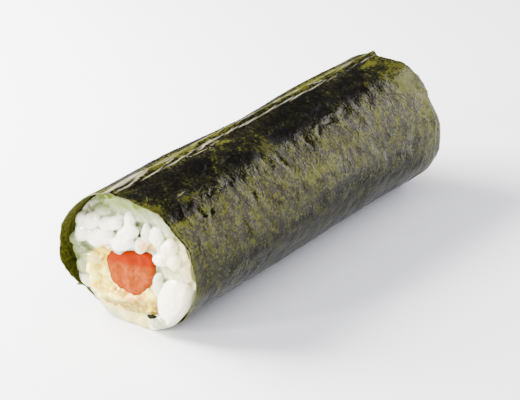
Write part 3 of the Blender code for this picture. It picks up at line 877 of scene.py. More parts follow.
@dataclass(frozen=True)
class ThinSpot:
    """A soft-edged patch where few fronds overlap, or many where its strength is below zero."""

    turn: float
    x: float
    half_turn: float
    half_length: float
    strength: float

    def share(self, turn: np.ndarray, x: np.ndarray) -> np.ndarray:
        """Return the strength at points of the sheet."""
        around = from_turn(turn, self.turn) / self.half_turn
        along = (x / MM - self.x) / self.half_length
        return self.strength * np.exp(-(around ** 2 + along ** 2) ** 2)


@dataclass(frozen=True)
class NoriSheet:
    """The sheet of nori, wound a little over one and a half times round the rice.

    Column_steps gives spans of turns and the step in each. A crest highlight is a pale highlight painted
    along the crest: its strength, how far beyond the crease it lies, its spread in degrees, and its middle
    and reach along the roll in millimetres. Dull_until gives the turn where the sheen starts at places along
    the roll.
    """

    form: RollForm
    thickness: float = 0.22 * MM
    column_steps: tuple[tuple[float, float, float], ...] = (
        (77.0, 325.0, 8.0), (325.0, 424.0, 3.0), (424.0, 452.0, 0.7),
        (452.0, 606.0, 1.25), (606.0, 670.0, 4.0), (670.0, 686.0, 1.6))
    rows: int = 180
    lower_rim_turns: tuple[float, float] = (300.0, 340.0)
    upper_rim_turns: tuple[float, float] = (497.0, 522.0)
    lower_setback: float = 0.8 * MM
    peep: float = 1.5 * MM
    peep_turn: float = 195.0
    peep_spread: float = 42.0
    tooth: float = 0.28 * MM
    tooth_length: float = 1.6 * MM
    swell: float = 0.16 * MM
    swell_length: float = 9.0 * MM
    crinkle: float = 0.22 * MM
    crinkle_length: float = 5.0 * MM
    fine_crinkle: float = 0.05 * MM
    fine_crinkle_length: float = 1.9 * MM
    thin_near: float = 1.6 * MM
    thin_far: float = 6.0 * MM
    thin_spots: tuple[ThinSpot, ...] = ()
    sheen_turns: tuple[tuple[float, float], ...] = ((73.0, 90.0), (166.0, 186.0))
    # Pale highlights painted along the crest.
    crest_highlights: tuple[tuple[float, ...], ...] = (
        (0.66, 5.0, 2.0, 0.0, 90.0), (0.54, -3.0, 9.0, 0.0, 90.0),
        (0.74, -1.0, 5.0, -46.0, 11.0), (0.72, -3.0, 6.0, 13.0, 10.0))
    dull_until: tuple[tuple[float, float], ...] = (
        (-50.0, 129.0), (-30.0, 122.0), (-8.0, 123.0), (0.0, 120.0),
        (10.0, 118.0), (28.0, 116.0), (50.0, 112.0))
    dull_edge: tuple[float, float] = (-7.0, 1.0)
    dull_sheen: float = 0.36
    back_sheen_loss: float = 0.9
    lower_sheen_loss: float = 0.4
    lower_sheen_from: tuple[float, float] = (-45.0 * MM, -15.0 * MM)
    single_from: tuple[float, float] = (318.0, 328.0)
    single_until: tuple[float, float] = (437.0, 449.0)
    single_hollow: float = 0.05 * MM
    rim_thinness: float = 0.6

    def turns(self) -> np.ndarray:
        """Return the turns of the sheet's columns, closer together where the sheet shows."""
        parts = [np.arange(*span) for span in self.column_steps]
        return np.concatenate((*parts, [self.column_steps[-1][1]]))

    def build(self) -> bpy.types.Object:
        """Bend a fine grid round the roll and give it its thickness inwards."""
        form = self.form
        turn, along = np.meshgrid(self.turns(), np.linspace(0.0, 1.0, self.rows), indexing="ij")
        lower = 1.0 - smooth_step(turn, *self.lower_rim_turns)
        upper = smooth_step(turn, *self.upper_rim_turns)
        low = form.near_rim(turn) + self.lower_setback * lower
        high = form.far_rim(turn) + self.peep * hump(turn, self.peep_turn, self.peep_spread) * (lower - upper)
        for rim, reach, seed in ((low, -1.0, 3.1), (high, 1.0, 17.7)):
            places = form.points(turn[:, 0], rim[:, 0], 0.0)
            rim += reach * self.tooth * noise_at(places, self.tooth_length, 3, seed)[:, None]
        x = low + (high - low) * along
        depth = form.layer_depth(turn)
        plain = form.points(turn, x, 0.0)
        free = 1.0 - form.resting(turn)
        relief = self.swell * noise_at(plain, self.swell_length, 2, 5.0)
        relief -= self.crinkle * np.abs(noise_at(plain, self.crinkle_length, 2, 40.0))
        relief += self.fine_crinkle * noise_at(plain, self.fine_crinkle_length, 2, 70.0)
        alone = smooth_step(turn, *self.single_from) * (1.0 - smooth_step(turn, *self.single_until))
        relief = np.maximum(relief, -self.single_hollow - MM * (1.0 - alone))
        folded, highlight_paint = form.fold_shapes(turn, x)
        relief += folded
        sheet = form.points(turn, x, form.lift(turn, x) - depth + relief * free)
        made = add_object("nori_sheet", sheet, grid_faces(*turn.shape))
        self.lay_out(made.data, turn, x)
        thinness = self.rim_thinness * (np.exp(-((x - low) / self.thin_near) ** 2)
                                        + np.exp(-((high - x) / self.thin_far) ** 2))
        thinness += sum(spot.share(turn, x) for spot in self.thin_spots)
        # Paint pale highlights along the crest.
        for share, beyond, spread, middle, reach in self.crest_highlights:
            crest_glint = share * hump(turn, form.crease_line(x) + beyond, spread)
            highlight_paint = np.maximum(highlight_paint, crest_glint * np.exp(-((x / MM - middle) / reach) ** 4))
        behind, before = self.sheen_turns
        visible = from_turn(turn, 90.0) + 90.0
        sheen = 1.0 - self.back_sheen_loss * (1.0 - smooth_step(visible, *behind))
        lower_side = smooth_step(visible, *before) * smooth_step(x, *self.lower_sheen_from)
        sheen *= 1.0 - self.lower_sheen_loss * lower_side
        dull = np.interp(x / MM, *np.array(self.dull_until).T)
        sheen *= self.dull_sheen + (1.0 - self.dull_sheen) * smooth_step(visible - dull, *self.dull_edge)
        for name, values in (("thinness", thinness), ("painted_highlight", highlight_paint), ("sheen", sheen)):
            attribute = made.data.attributes.new(name, "FLOAT", "POINT")
            attribute.data.foreach_set("value", values.astype(np.float32).ravel())
        for finish in (ToastedNori(), MoistNori(), CutNoriEdge()):
            made.data.materials.append(finish.make())
        solid = made.modifiers.new("thickness", "SOLIDIFY")
        solid.thickness = self.thickness
        solid.offset = -1.0
        solid.material_offset = 1
        solid.material_offset_rim = 2
        return made

    def lay_out(self, mesh: bpy.types.Mesh, turn: np.ndarray, x: np.ndarray) -> None:
        """Lay the sheet out flat as a UV map in metres: way round, and way along the roll.

        Args:
            mesh: The sheet's mesh, one vertex a grid point.
            turn: The turns of the grid.
            x: The places along the roll.
        """
        around = np.radians(turn) * (self.form.half_width_near + self.form.half_height_near) / 2
        flat = np.stack((around, x), axis=-1).reshape(-1, 2)
        corners = np.empty(len(mesh.loops), dtype=np.int64)
        mesh.loops.foreach_get("vertex_index", corners)
        layer = mesh.uv_layers.new(name="sheet")
        layer.data.foreach_set("uv", flat[corners].astype(np.float32).ravel())


@dataclass(frozen=True)
class DarkFlake:
    """A small, dark, torn sheet in the nori's inner finish, laid flat on the rice of the near face."""

    y: float = -6.0 * MM
    z: float = 4.9 * MM
    half_length: float = 1.3 * MM
    half_width: float = 0.65 * MM
    lean: float = 10.0
    ragged: float = 0.35
    sides: int = 14
    thickness: float = 0.22 * MM
    stand_off: float = 0.12 * MM
    bend: float = 0.15 / MM
    dense: str = "#0c0c06"
    thin: str = "#1c1c0a"

    def build(self, rice: bpy.types.Object, shift: Vector) -> bpy.types.Object:
        """Lay the sheet on the rice.

        Args:
            rice: The rice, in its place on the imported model.
            shift: From the roll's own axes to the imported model's.

        Returns:
            The sheet, in the roll's own axes.
        """
        angle = np.arange(self.sides) * 2 * math.pi / self.sides
        torn = 1.0 + self.ragged * np.sin(3 * angle + 0.6) * np.cos(5 * angle)
        along, across = self.half_length * torn * np.cos(angle), self.half_width * torn * np.sin(angle)
        lean = math.radians(self.lean)
        y = self.y - along * math.cos(lean) - across * math.sin(lean)
        z = self.z + along * math.sin(lean) - across * math.cos(lean)
        rings = [np.stack((y + (self.y - y) * inward, z + (self.z - z) * inward), axis=1)
                 for inward in (0.0, 0.5)]
        flat = np.concatenate((*rings, [[self.y, self.z]]))
        met = [rice.ray_cast(Vector((-0.1, *spot)) + shift, Vector((1.0, 0.0, 0.0))) for spot in flat]
        front = sorted(spot.x for hit, spot, _, _ in met if hit)[2] - shift.x - self.stand_off
        bend = self.bend * (flat[:, 0] - self.y) ** 2
        points = np.column_stack((front + bend, flat))
        faces = [(side, (side + 1) % self.sides, self.sides + (side + 1) % self.sides, self.sides + side)
                 for side in range(self.sides)]
        faces += [(self.sides + side, self.sides + (side + 1) % self.sides, 2 * self.sides)
                  for side in range(self.sides)]
        made = add_object("dark_flake", points, faces)
        made.data.materials.append(MoistNori(dense=self.dense, thin=self.thin).make())
        solid = made.modifiers.new("thickness", "SOLIDIFY")
        solid.thickness = self.thickness
        solid.offset = 1.0
        return made


@dataclass(frozen=True)
class Grain:
    """A grain or a pressed clump on an end face; millimetres and degrees.

    Its long axis rises by lean towards -Y, and nods out of the face at that end. Milk is one for
    opaque white and zero for glassy.
    """

    y: float
    z: float
    lean: float
    length: float = 6.4
    width: float = 3.8
    out: float = 0.0
    nod: float = 0.0
    milk: float = 1.0
    flat: float = 0.85


@dataclass(frozen=True)
class Blob:
    """A rounded form placed in space, with what its skin is tinted."""

    centre: Vector
    half_sizes: Vector
    turned: Matrix
    tint: float


def blob_mesh(blobs: list[Blob], roundness: float = 0.92) -> tuple[np.ndarray, np.ndarray]:
    """Make a slightly squared ellipsoid for each blob.

    Args:
        blobs: The blobs.
        roundness: The power that plumps the sphere; one leaves it round.

    Returns:
        The points, and the triangles.
    """
    shape = bmesh.new()
    bmesh.ops.create_icosphere(shape, subdivisions=3, radius=1.0)
    ball = np.array([vert.co[:] for vert in shape.verts])
    faces = np.array([[vert.index for vert in face.verts] for face in shape.faces])
    shape.free()
    ball = np.sign(ball) * np.abs(ball) ** roundness
    points = []
    for blob in blobs:
        turned = np.array(blob.turned.to_3x3())
        points.append((ball * np.array(blob.half_sizes)) @ turned.T + np.array(blob.centre))
    triangles = [faces + index * len(ball) for index in range(len(blobs))]
    return np.concatenate(points), np.concatenate(triangles)


def nearest_tint(points: np.ndarray, blobs: list[Blob], reach: float, plain: float) -> np.ndarray:
    """Blend the tints of the blobs nearest to each point.

    Args:
        points: One row a point.
        blobs: The blobs.
        reach: How far outside a blob, in parts of its size, the plain tint takes over.
        plain: The tint of what has no blob near.

    Returns:
        One tint a point.
    """
    weights = np.full(len(points), 1e-6)
    sums = weights * plain
    for blob in blobs:
        turned = np.array(blob.turned.to_3x3())
        local = (points - np.array(blob.centre)) @ turned / np.array(blob.half_sizes)
        away = np.maximum(np.linalg.norm(local, axis=1) - 1.0, 0.0)
        weight = np.exp(-(away / reach) ** 2 * 8.0)
        weights += weight
        sums += weight * blob.tint
    return sums / weights


def crevices(points: np.ndarray, faces: list[tuple[int, ...]], spread: int, deep: float) -> np.ndarray:
    """Find the crevices of a lumpy surface.

    Args:
        points: Its points.
        faces: Its four-sided faces.
        spread: How many times the surface is evened out to find its general run.
        deep: How far below that a full crevice lies.

    Returns:
        One number a point, from zero on the lumps to one in full crevices.
    """
    quads = np.array(faces)
    ends = np.concatenate([quads[:, (index, (index + 1) % quads.shape[1])]
                           for index in range(quads.shape[1])])
    count = np.bincount(ends[:, 0], minlength=len(points))[:, None]
    soft = points
    for _ in range(spread):
        total = np.stack([np.bincount(ends[:, 0], soft[ends[:, 1], axis], len(points))
                          for axis in range(3)], axis=1)
        soft = total / count
    normal = np.zeros_like(points)
    across = np.cross(points[quads[:, 2]] - points[quads[:, 0]], points[quads[:, 3]] - points[quads[:, 1]])
    for column in range(4):
        for axis in range(3):
            normal[:, axis] += np.bincount(quads[:, column], across[:, axis], len(points))
    normal /= np.linalg.norm(normal, axis=1, keepdims=True)
    inward = ((soft - points) * normal).sum(axis=1)
    return np.clip(inward / deep, 0.0, 1.0)


# The grains that lie on the near face; the far face has scattered ones alone.
NEAR_GRAINS = (
    Grain(16.8, 17.5, 15, 4.8, 3.2, 0.2, milk=0.0), Grain(15.2, 15.0, 10, 5.4, 3.2, 0.1, milk=0.0),
    Grain(11.8, 14.2, 12, 7.0, 3.4, 0.9, milk=0.0), Grain(14.0, 11.7, 60, 5.6, 4.2, 0.6, milk=0.1),
    Grain(13.0, 8.3, -12, 5.4, 3.8, 0.5, milk=0.5), Grain(14.2, 20.0, 55, 5.6, 4.2, 0.8),
    Grain(11.4, 23.7, 30, 6.0, 4.0, 1.0), Grain(11.2, 19.6, -30, 6.0, 4.2, 1.0),
    Grain(8.2, 20.9, 10, 6.6, 4.6, 1.2), Grain(7.3, 24.1, 35, 5.2, 3.4, 1.0),
    Grain(5.2, 24.9, 30, 5.0, 3.2, 1.0), Grain(8.7, 26.4, 15, 7.0, 4.2, 0.0, milk=0.2),
    Grain(3.8, 26.6, 5, 6.2, 4.0, 0.0, milk=0.4), Grain(0.8, 26.6, 82, 5.8, 2.9, 0.8),
    Grain(1.2, 23.6, 34, 7.2, 3.6, 1.3), Grain(2.4, 21.0, 28, 7.4, 3.8, 1.8),
    Grain(-2.2, 21.4, 60, 4.6, 3.4, 0.8, milk=0.5), Grain(-3.9, 24.7, 85, 5.8, 3.1, 0.6, milk=0.5),
    Grain(-6.5, 24.9, 75, 5.4, 4.0, 0.8), Grain(-10.1, 22.6, 55, 6.0, 4.4, 1.2),
    Grain(-8.2, 19.8, 20, 4.6, 3.3, 1.2), Grain(-11.5, 20.4, 60, 5.0, 4.0, 1.0),
    Grain(-6.9, 13.2, 84, 5.4, 2.6, 0.2, milk=0.5),
)

# The larger pressed forms on the near face, each with its thickness in millimetres.
NEAR_CLUMPS = (
    (Grain(-11.6, 9.4, 68, 14.2, 9.8, 1.4), 3.2),
    (Grain(-7.4, 3.6, 10, 5.6, 3.4, 0.7, milk=0.2), 1.8),
    (Grain(-12.3, 17.8, 24, 13.0, 6.4, 0.0, milk=0.25), 1.5),
    (Grain(-13.9, 22.6, 48, 11.5, 5.6, 0.1, milk=0.25), 1.5),
    (Grain(2.3, 29.7, 0, 19.0, 7.4, 0.1, milk=0.15), 1.8),
    (Grain(-7.4, 28.0, -35, 8.5, 4.6, 0.2, milk=0.25), 1.5),
)


@dataclass(frozen=True)
class RiceMass:
    """The rice: a pressed core with a channel for the filling, and a mass of grains at each end."""

    form: RollForm
    voxel: float = 0.26 * MM
    soften: int = 1
    knobble: float = 0.24 * MM
    knobble_length: float = 1.7 * MM
    outer_depth: float = 0.78 * MM
    under_sheet: float = 0.34 * MM
    alone_turns: tuple[float, float] = (-34.0, 77.0)
    spare: float = 0.3 * MM
    plug: float = 5.0 * MM
    inset: float = 1.5 * MM
    sides: int = 72
    overlap: float = 0.4 * MM
    channel_overlap: float = 0.2 * MM
    pitch: float = 3.1 * MM
    jitter: float = 0.8 * MM
    grain_length: tuple[float, float] = (5.6, 6.8)
    grain_width: tuple[float, float] = (3.4, 4.2)
    stand_out: tuple[float, float] = (-1.0, 0.7)
    flats: tuple[float, float] = (0.8, 0.95)
    nods: tuple[float, float] = (-30.0, 30.0)
    milks: tuple[float, ...] = (0.25, 0.6, 0.8, 1.0, 1.0)
    row_height: float = 0.87
    rim_free: float = 1.2 * MM
    rim_band: float = 3.2 * MM
    rim_sway: float = 12.0
    rim_sink: float = 0.3
    apart: float = 2.5 * MM
    filling_gap: float = 1.0 * MM
    round_off: float = 0.08 / MM
    slump: float = 0.75 * MM
    slump_past: float = 1.0 * MM
    slump_deep: float = 2.6 * MM
    # How far the crevices take the darker glassy tint: painted shade.
    crevice_shade: float = 1.0
    crevice_spread: int = 14
    crevice_depth: float = 0.3 * MM
    seed: int = 5

    def grain_blob(self, grain: Grain, end: End) -> Blob:
        """Place a grain on an end face."""
        way = end.value
        sunk = grain.width * grain.flat / 2 - grain.out
        x = self.form.face(grain.y * MM, grain.z * MM, end) - way * sunk * MM
        lean = Matrix.Rotation(math.radians(180.0 - grain.lean), 4, "X")
        nod = Matrix.Rotation(math.radians(-way * grain.nod), 4, "Z")
        lie = Matrix.Rotation(math.pi / 2, 4, "Z")
        half_sizes = Vector((grain.length, grain.width * grain.flat, grain.width)) * MM / 2
        return Blob(Vector((x, grain.y * MM, grain.z * MM)), half_sizes, lean @ nod @ lie, grain.milk)

    def scattered(self, end: End, laid: list[Grain], clumps: list[Blob]) -> list[Grain]:
        """Fill an end face with grains where none is laid yet, along the wall beside it.

        Args:
            end: Which end.
            laid: The grains that lie there already.
            clumps: The larger forms there, which no grain is laid on.

        Returns:
            The further grains.
        """
        draw = random.Random(self.seed + end.value)
        form = self.form
        found: list[Grain] = []
        rows = int(2 * form.half_height_near / self.pitch) + 3
        for row in range(rows):
            for column in range(-rows, rows):
                y = (column + 0.5 * (row % 2)) * self.pitch + draw.uniform(-1, 1) * self.jitter
                z = row * self.pitch * self.row_height + draw.uniform(-1, 1) * self.jitter
                length = draw.uniform(*self.grain_length)
                width = draw.uniform(*self.grain_width)
                lean = draw.uniform(0.0, 180.0)
                out = draw.uniform(*self.stand_out)
                nod = draw.uniform(*self.nods)
                milk = draw.choice(self.milks)
                flat = draw.uniform(*self.flats)
                spot = np.array((end.value * form.half_length, y, z))
                turn, depth = form.turn_and_depth(spot)
                if depth < self.outer_depth + self.rim_free:
                    continue
                if depth < self.outer_depth + self.rim_band:
                    lean = 90.0 - float(turn) + draw.uniform(-self.rim_sway, self.rim_sway)
                    out = out - self.rim_sink
                if any(self.covers(clump, y, z) for clump in clumps):
                    continue
                gaps = [outline.distance(np.array(y), np.array(z)) for outline in (SALMON, MAYO)]
                if min(gaps) < self.filling_gap:
                    continue
                if any(math.hypot(y - other.y * MM, z - other.z * MM) < self.apart
                       for other in laid + found):
                    continue
                found.append(Grain(y / MM, z / MM, lean, length, width, out, nod, milk, flat))
        return found

    @staticmethod
    def covers(clump: Blob, y: float, z: float) -> bool:
        """Return whether a clump lies over most of a grain at (y, z)."""
        local = clump.turned.inverted() @ Vector((0.0, y - clump.centre.y, z - clump.centre.z))
        return Vector([a / b for a, b in zip(local, clump.half_sizes)]).length < 0.95

    def depth_below(self, turn: Any, x: Any) -> np.ndarray:
        """Return how deep below the plain envelope the rice ends, so that the sheet lies free on it."""
        way = from_turn(turn, 0.0)
        first, last = self.alone_turns
        alone = (way > first) & (way < last)
        depth = np.where(alone, self.form.layer_depth(way + 360.0) + self.under_sheet, self.outer_depth)
        return depth - np.minimum(self.form.lift(turn, x), 0.0)

    def core_points(self, xs: np.ndarray, end_insets: tuple[float, float]) -> np.ndarray:
        """Return rings of the rice's round outline; x runs from zero at the near face to one at the far.

        Args:
            xs: The parts of the length.
            end_insets: How far inside the near and the far mean face the first and last ring lie.

        Returns:
            The points, ring by ring.
        """
        form = self.form
        turn = np.arange(self.sides) * 360.0 / self.sides
        rings = []
        for share in xs:
            plain = form.points(turn, np.full_like(turn, (2 * share - 1) * form.half_length),
                                -self.depth_below(turn, (2 * share - 1) * form.half_length))
            low = form.face(plain[:, 1], plain[:, 2], End.NEAR) + end_insets[0]
            high = form.face(plain[:, 1], plain[:, 2], End.FAR) - end_insets[1]
            plain[:, 0] = low + (high - low) * share
            rings.append(plain)
        return np.concatenate(rings)

    def core(self, name: str, xs: np.ndarray, end_insets: tuple[float, float]) -> bpy.types.Object:
        """Make a length of the core as a closed barrel, with the channel cut through it.

        Args:
            name: The object's name.
            xs: The parts of the length at which its rings lie.
            end_insets: How far inside the near and the far mean face it stops.

        Returns:
            The barrel.
        """
        count = len(xs)
        points = self.core_points(xs, end_insets)
        faces = [tuple(ring * self.sides + side for side in range(self.sides)) for ring in (0, count - 1)]
        faces[0] = faces[0][::-1]
        faces += bar_faces(self.sides, count)
        barrel = add_object(name, points, faces)
        for outline in (MAYO, SALMON):
            cut_away(barrel, filling_bar(self.form, "cutter", outline, 36, 12, -self.channel_overlap, 8 * MM))
        return barrel

    def end_mass(self, end: End, grains: list[Grain],
                 clumps: list[Blob]) -> tuple[np.ndarray, list[tuple[int, ...]], np.ndarray]:
        """Melt a slice of the core and the grains on it to one soft surface, pressed flat by the nori.

        Args:
            end: Which end.
            grains: The grains on it.
            clumps: Larger rounded forms on it.

        Returns:
            The points, the faces, and the milkiness of each point, lowered in the crevices as painted shade.
        """
        share = self.plug / (2 * self.form.half_length)
        xs = np.array((0.0, share)) if end is End.NEAR else np.array((1.0 - share, 1.0))
        insets = (self.inset, 0.0) if end is End.NEAR else (0.0, self.inset)
        fuller = replace(self, outer_depth=self.outer_depth - self.spare,
                         under_sheet=self.under_sheet - self.spare)
        slice_points, slice_faces = evaluated_arrays(fuller.core("slice", xs, insets))
        blobs = [self.grain_blob(grain, end) for grain in grains] + clumps
        grain_points, grain_faces = blob_mesh(blobs)
        faces = list(slice_faces) + [tuple(face) for face in grain_faces + len(slice_points)]
        raw = add_object("raw", np.concatenate((slice_points, grain_points)), faces)
        points, faces = melted(raw, self.voxel, self.soften)
        points[:, 0] += end.value * self.knobble * noise_at(points, self.knobble_length, 2, 90.0)
        points = self.slumped(self.pressed(points, end), end)
        # The milkiness drops in the crevices between grains, so they take the darker glassy tint: painted
        # shade.
        milk = nearest_tint(points, blobs, 0.35, 0.35) - self.crevice_shade * crevices(
            points, faces, self.crevice_spread, self.crevice_depth)
        return points, faces, milk

    def pressed(self, points: np.ndarray, end: End) -> np.ndarray:
        """Keep points inside the nori, and rounded in where they stand past its rim."""
        turn, depth = self.form.turn_and_depth(points)
        past = np.maximum((points[:, 0] - self.form.rim(turn, end)) * end.value, 0.0)
        wanted = self.depth_below(turn, points[:, 0]) + self.round_off * past ** 2
        inner = self.form.points(turn, points[:, 0], -wanted)
        outside = depth < wanted
        return np.where(outside[:, None], inner, points)

    def slumped(self, points: np.ndarray, end: End) -> np.ndarray:
        """Let the rice that stands past the rim sag outwards underneath, over the rim of the nori."""
        turn, depth = self.form.turn_and_depth(points)
        past = (points[:, 0] - self.form.rim(turn, end)) * end.value
        starts, full, ends, gone = self.form.near_retreat_turns
        below = smooth_step(turn, starts, full) * (1.0 - smooth_step(turn, ends, gone))
        share = below * smooth_step(past, 0.0, self.slump_past)
        share = share * (1.0 - smooth_step(depth, self.outer_depth, self.slump_deep))
        out_y, out_z = self.form.envelope(turn, points[:, 0])[2:]
        sag = self.slump * share
        return points + np.stack((0.0 * sag, out_y * sag, out_z * sag), axis=1)

    def tints(self, points: np.ndarray, milk: np.ndarray) -> np.ndarray:
        """Tint the rice: milk, green (painted light through the nori, painted shade on the left), cream (the
        mayonnaise's, painted shade on the right) and peach, one row a point.

        Args:
            points: One row a point.
            milk: The milkiness of each point.

        Returns:
            Four tints a point.
        """
        turn, depth = self.form.turn_and_depth(points)
        y, z = points[:, 1], points[:, 2]
        # Green is painted light: the glow through the nori on the rice beside and beneath it.
        top = hump(turn, 82.0, 32.0)
        green = (1.0 - smooth_step(depth, 0.4 * MM, 2.6 * MM)) * 0.3
        nori_glow = (1.0 - smooth_step(depth, 2.4 * MM, 6.8 * MM)) * top * 1.35
        green = np.maximum(green, np.minimum(nori_glow, 1.0))
        # Green on the left side is painted shade.
        left_shade = smooth_step(y, 10.5 * MM, 12.5 * MM) * hump(z, 13.5 * MM, 6.0 * MM)
        green = np.maximum(green, 0.4 * left_shade)
        cream = 1.0 - smooth_step(MAYO.distance(y, z), 0.1 * MM, 2.2 * MM)
        cream *= 1.0 - smooth_step(y, 11.0 * MM, 12.6 * MM)
        bottom = (1.0 - smooth_step(z, 2.6 * MM, 4.4 * MM)) * hump(y, -1.0 * MM, 4.5 * MM)
        cream = np.maximum(cream, bottom)
        # Cream on the right side is painted shade; beside the mayonnaise and along the bottom it is the
        # soaked rice's colour.
        right = (1.0 - smooth_step(y, -11 * MM, -7 * MM)) * hump(z, 20 * MM, 7 * MM)
        cream = np.maximum(cream, 0.48 * right)
        peach = 1.0 - smooth_step(np.hypot(y + 4.2 * MM, z - 21.8 * MM), 0.5 * MM, 2.4 * MM)
        return np.stack((milk, green, cream * 0.75, peach * 0.7), axis=1)

    def build(self) -> bpy.types.Object:
        """Join the core and both end masses to one piece."""
        share = self.plug / (2 * self.form.half_length)
        middle = share - self.overlap / (2 * self.form.half_length)
        core_points, core_faces = evaluated_arrays(
            self.core("core", np.linspace(middle, 1.0 - middle, 9), (0.0, 0.0)))
        points, faces, milk = [core_points], list(core_faces), [np.full(len(core_points), 0.5)]
        for end, laid in ((End.NEAR, list(NEAR_GRAINS)), (End.FAR, [])):
            clumps = self.clumps() if end is End.NEAR else []
            loose = self.scattered(end, laid, clumps)
            mass, mass_faces, mass_milk = self.end_mass(end, laid + loose, clumps)
            start = sum(len(part) for part in points)
            faces += [tuple(index + start for index in face) for face in mass_faces]
            points.append(mass)
            milk.append(mass_milk)
        everything = np.concatenate(points)
        made = add_object("rice_mass", everything, faces)
        paint_points(made.data, "tints", self.tints(everything, np.concatenate(milk)))
        made.data.materials.append(CookedRice().make())
        return made

    def clumps(self) -> list[Blob]:
        """Return the larger pressed forms of the near face."""
        return [self.grain_blob(replace(grain, flat=2 * thick / grain.width), End.NEAR)
                for grain, thick in NEAR_CLUMPS]


def filling_bar(form: RollForm, name: str, outline: Outline, sides: int, rings: int, grow: float,
                past: float) -> bpy.types.Object:
    """Make a closed bar with a filling's section from one end face to the other.

    Args:
        form: The roll.
        name: The object's name.
        outline: The filling's section.
        sides: How many sides it has.
        rings: How many rings it has along it.
        grow: How far it is grown outwards.
        past: How far it runs past the end faces, below zero where it stops short of them.

    Returns:
        The bar.
    """
    section = outline.at(np.arange(sides) / sides, grow)
    points = []
    for share in np.linspace(0.0, 1.0, rings):
        drift_y, drift_z = form.drift((2 * share - 1) * form.half_length)
        y, z = section[:, 0] + drift_y, section[:, 1] + drift_z
        low, high = form.face(y, z, End.NEAR) - past, form.face(y, z, End.FAR) + past
        points.append(np.stack((low + (high - low) * share, y, z), axis=1))
    faces = [tuple(range(sides))[::-1], tuple((rings - 1) * sides + side for side in range(sides))]
    faces += bar_faces(sides, rings)
    return add_object(name, np.concatenate(points), faces)


def cut_away(thing: bpy.types.Object, cutter: bpy.types.Object) -> None:
    """Subtract a cutter from an object, and remove the cutter."""
    modifier = thing.modifiers.new("cut", "BOOLEAN")
    modifier.operation = "DIFFERENCE"
    modifier.object = cutter
    modifier.solver = "EXACT"
    graph = bpy.context.evaluated_depsgraph_get()
    mesh = bpy.data.meshes.new_from_object(thing.evaluated_get(graph))
    thing.modifiers.clear()
    thing.data = mesh
    bpy.data.objects.remove(cutter, do_unlink=True)


def melted(thing: bpy.types.Object, voxel: float, soften: int) -> tuple[np.ndarray, list[tuple[int, ...]]]:
    """Melt closed forms that overlap to one soft surface, and remove the object.

    Args:
        thing: The object that holds the forms.
        voxel: The size of the grid that they are melted on.
        soften: How many times the surface is evened out.

    Returns:
        The points, and the faces.
    """
    remesh = thing.modifiers.new("melt", "REMESH")
    remesh.mode = "VOXEL"
    remesh.voxel_size = voxel
    smooth = thing.modifiers.new("soften", "SMOOTH")
    smooth.factor = 0.5
    smooth.iterations = soften
    return evaluated_arrays(thing)


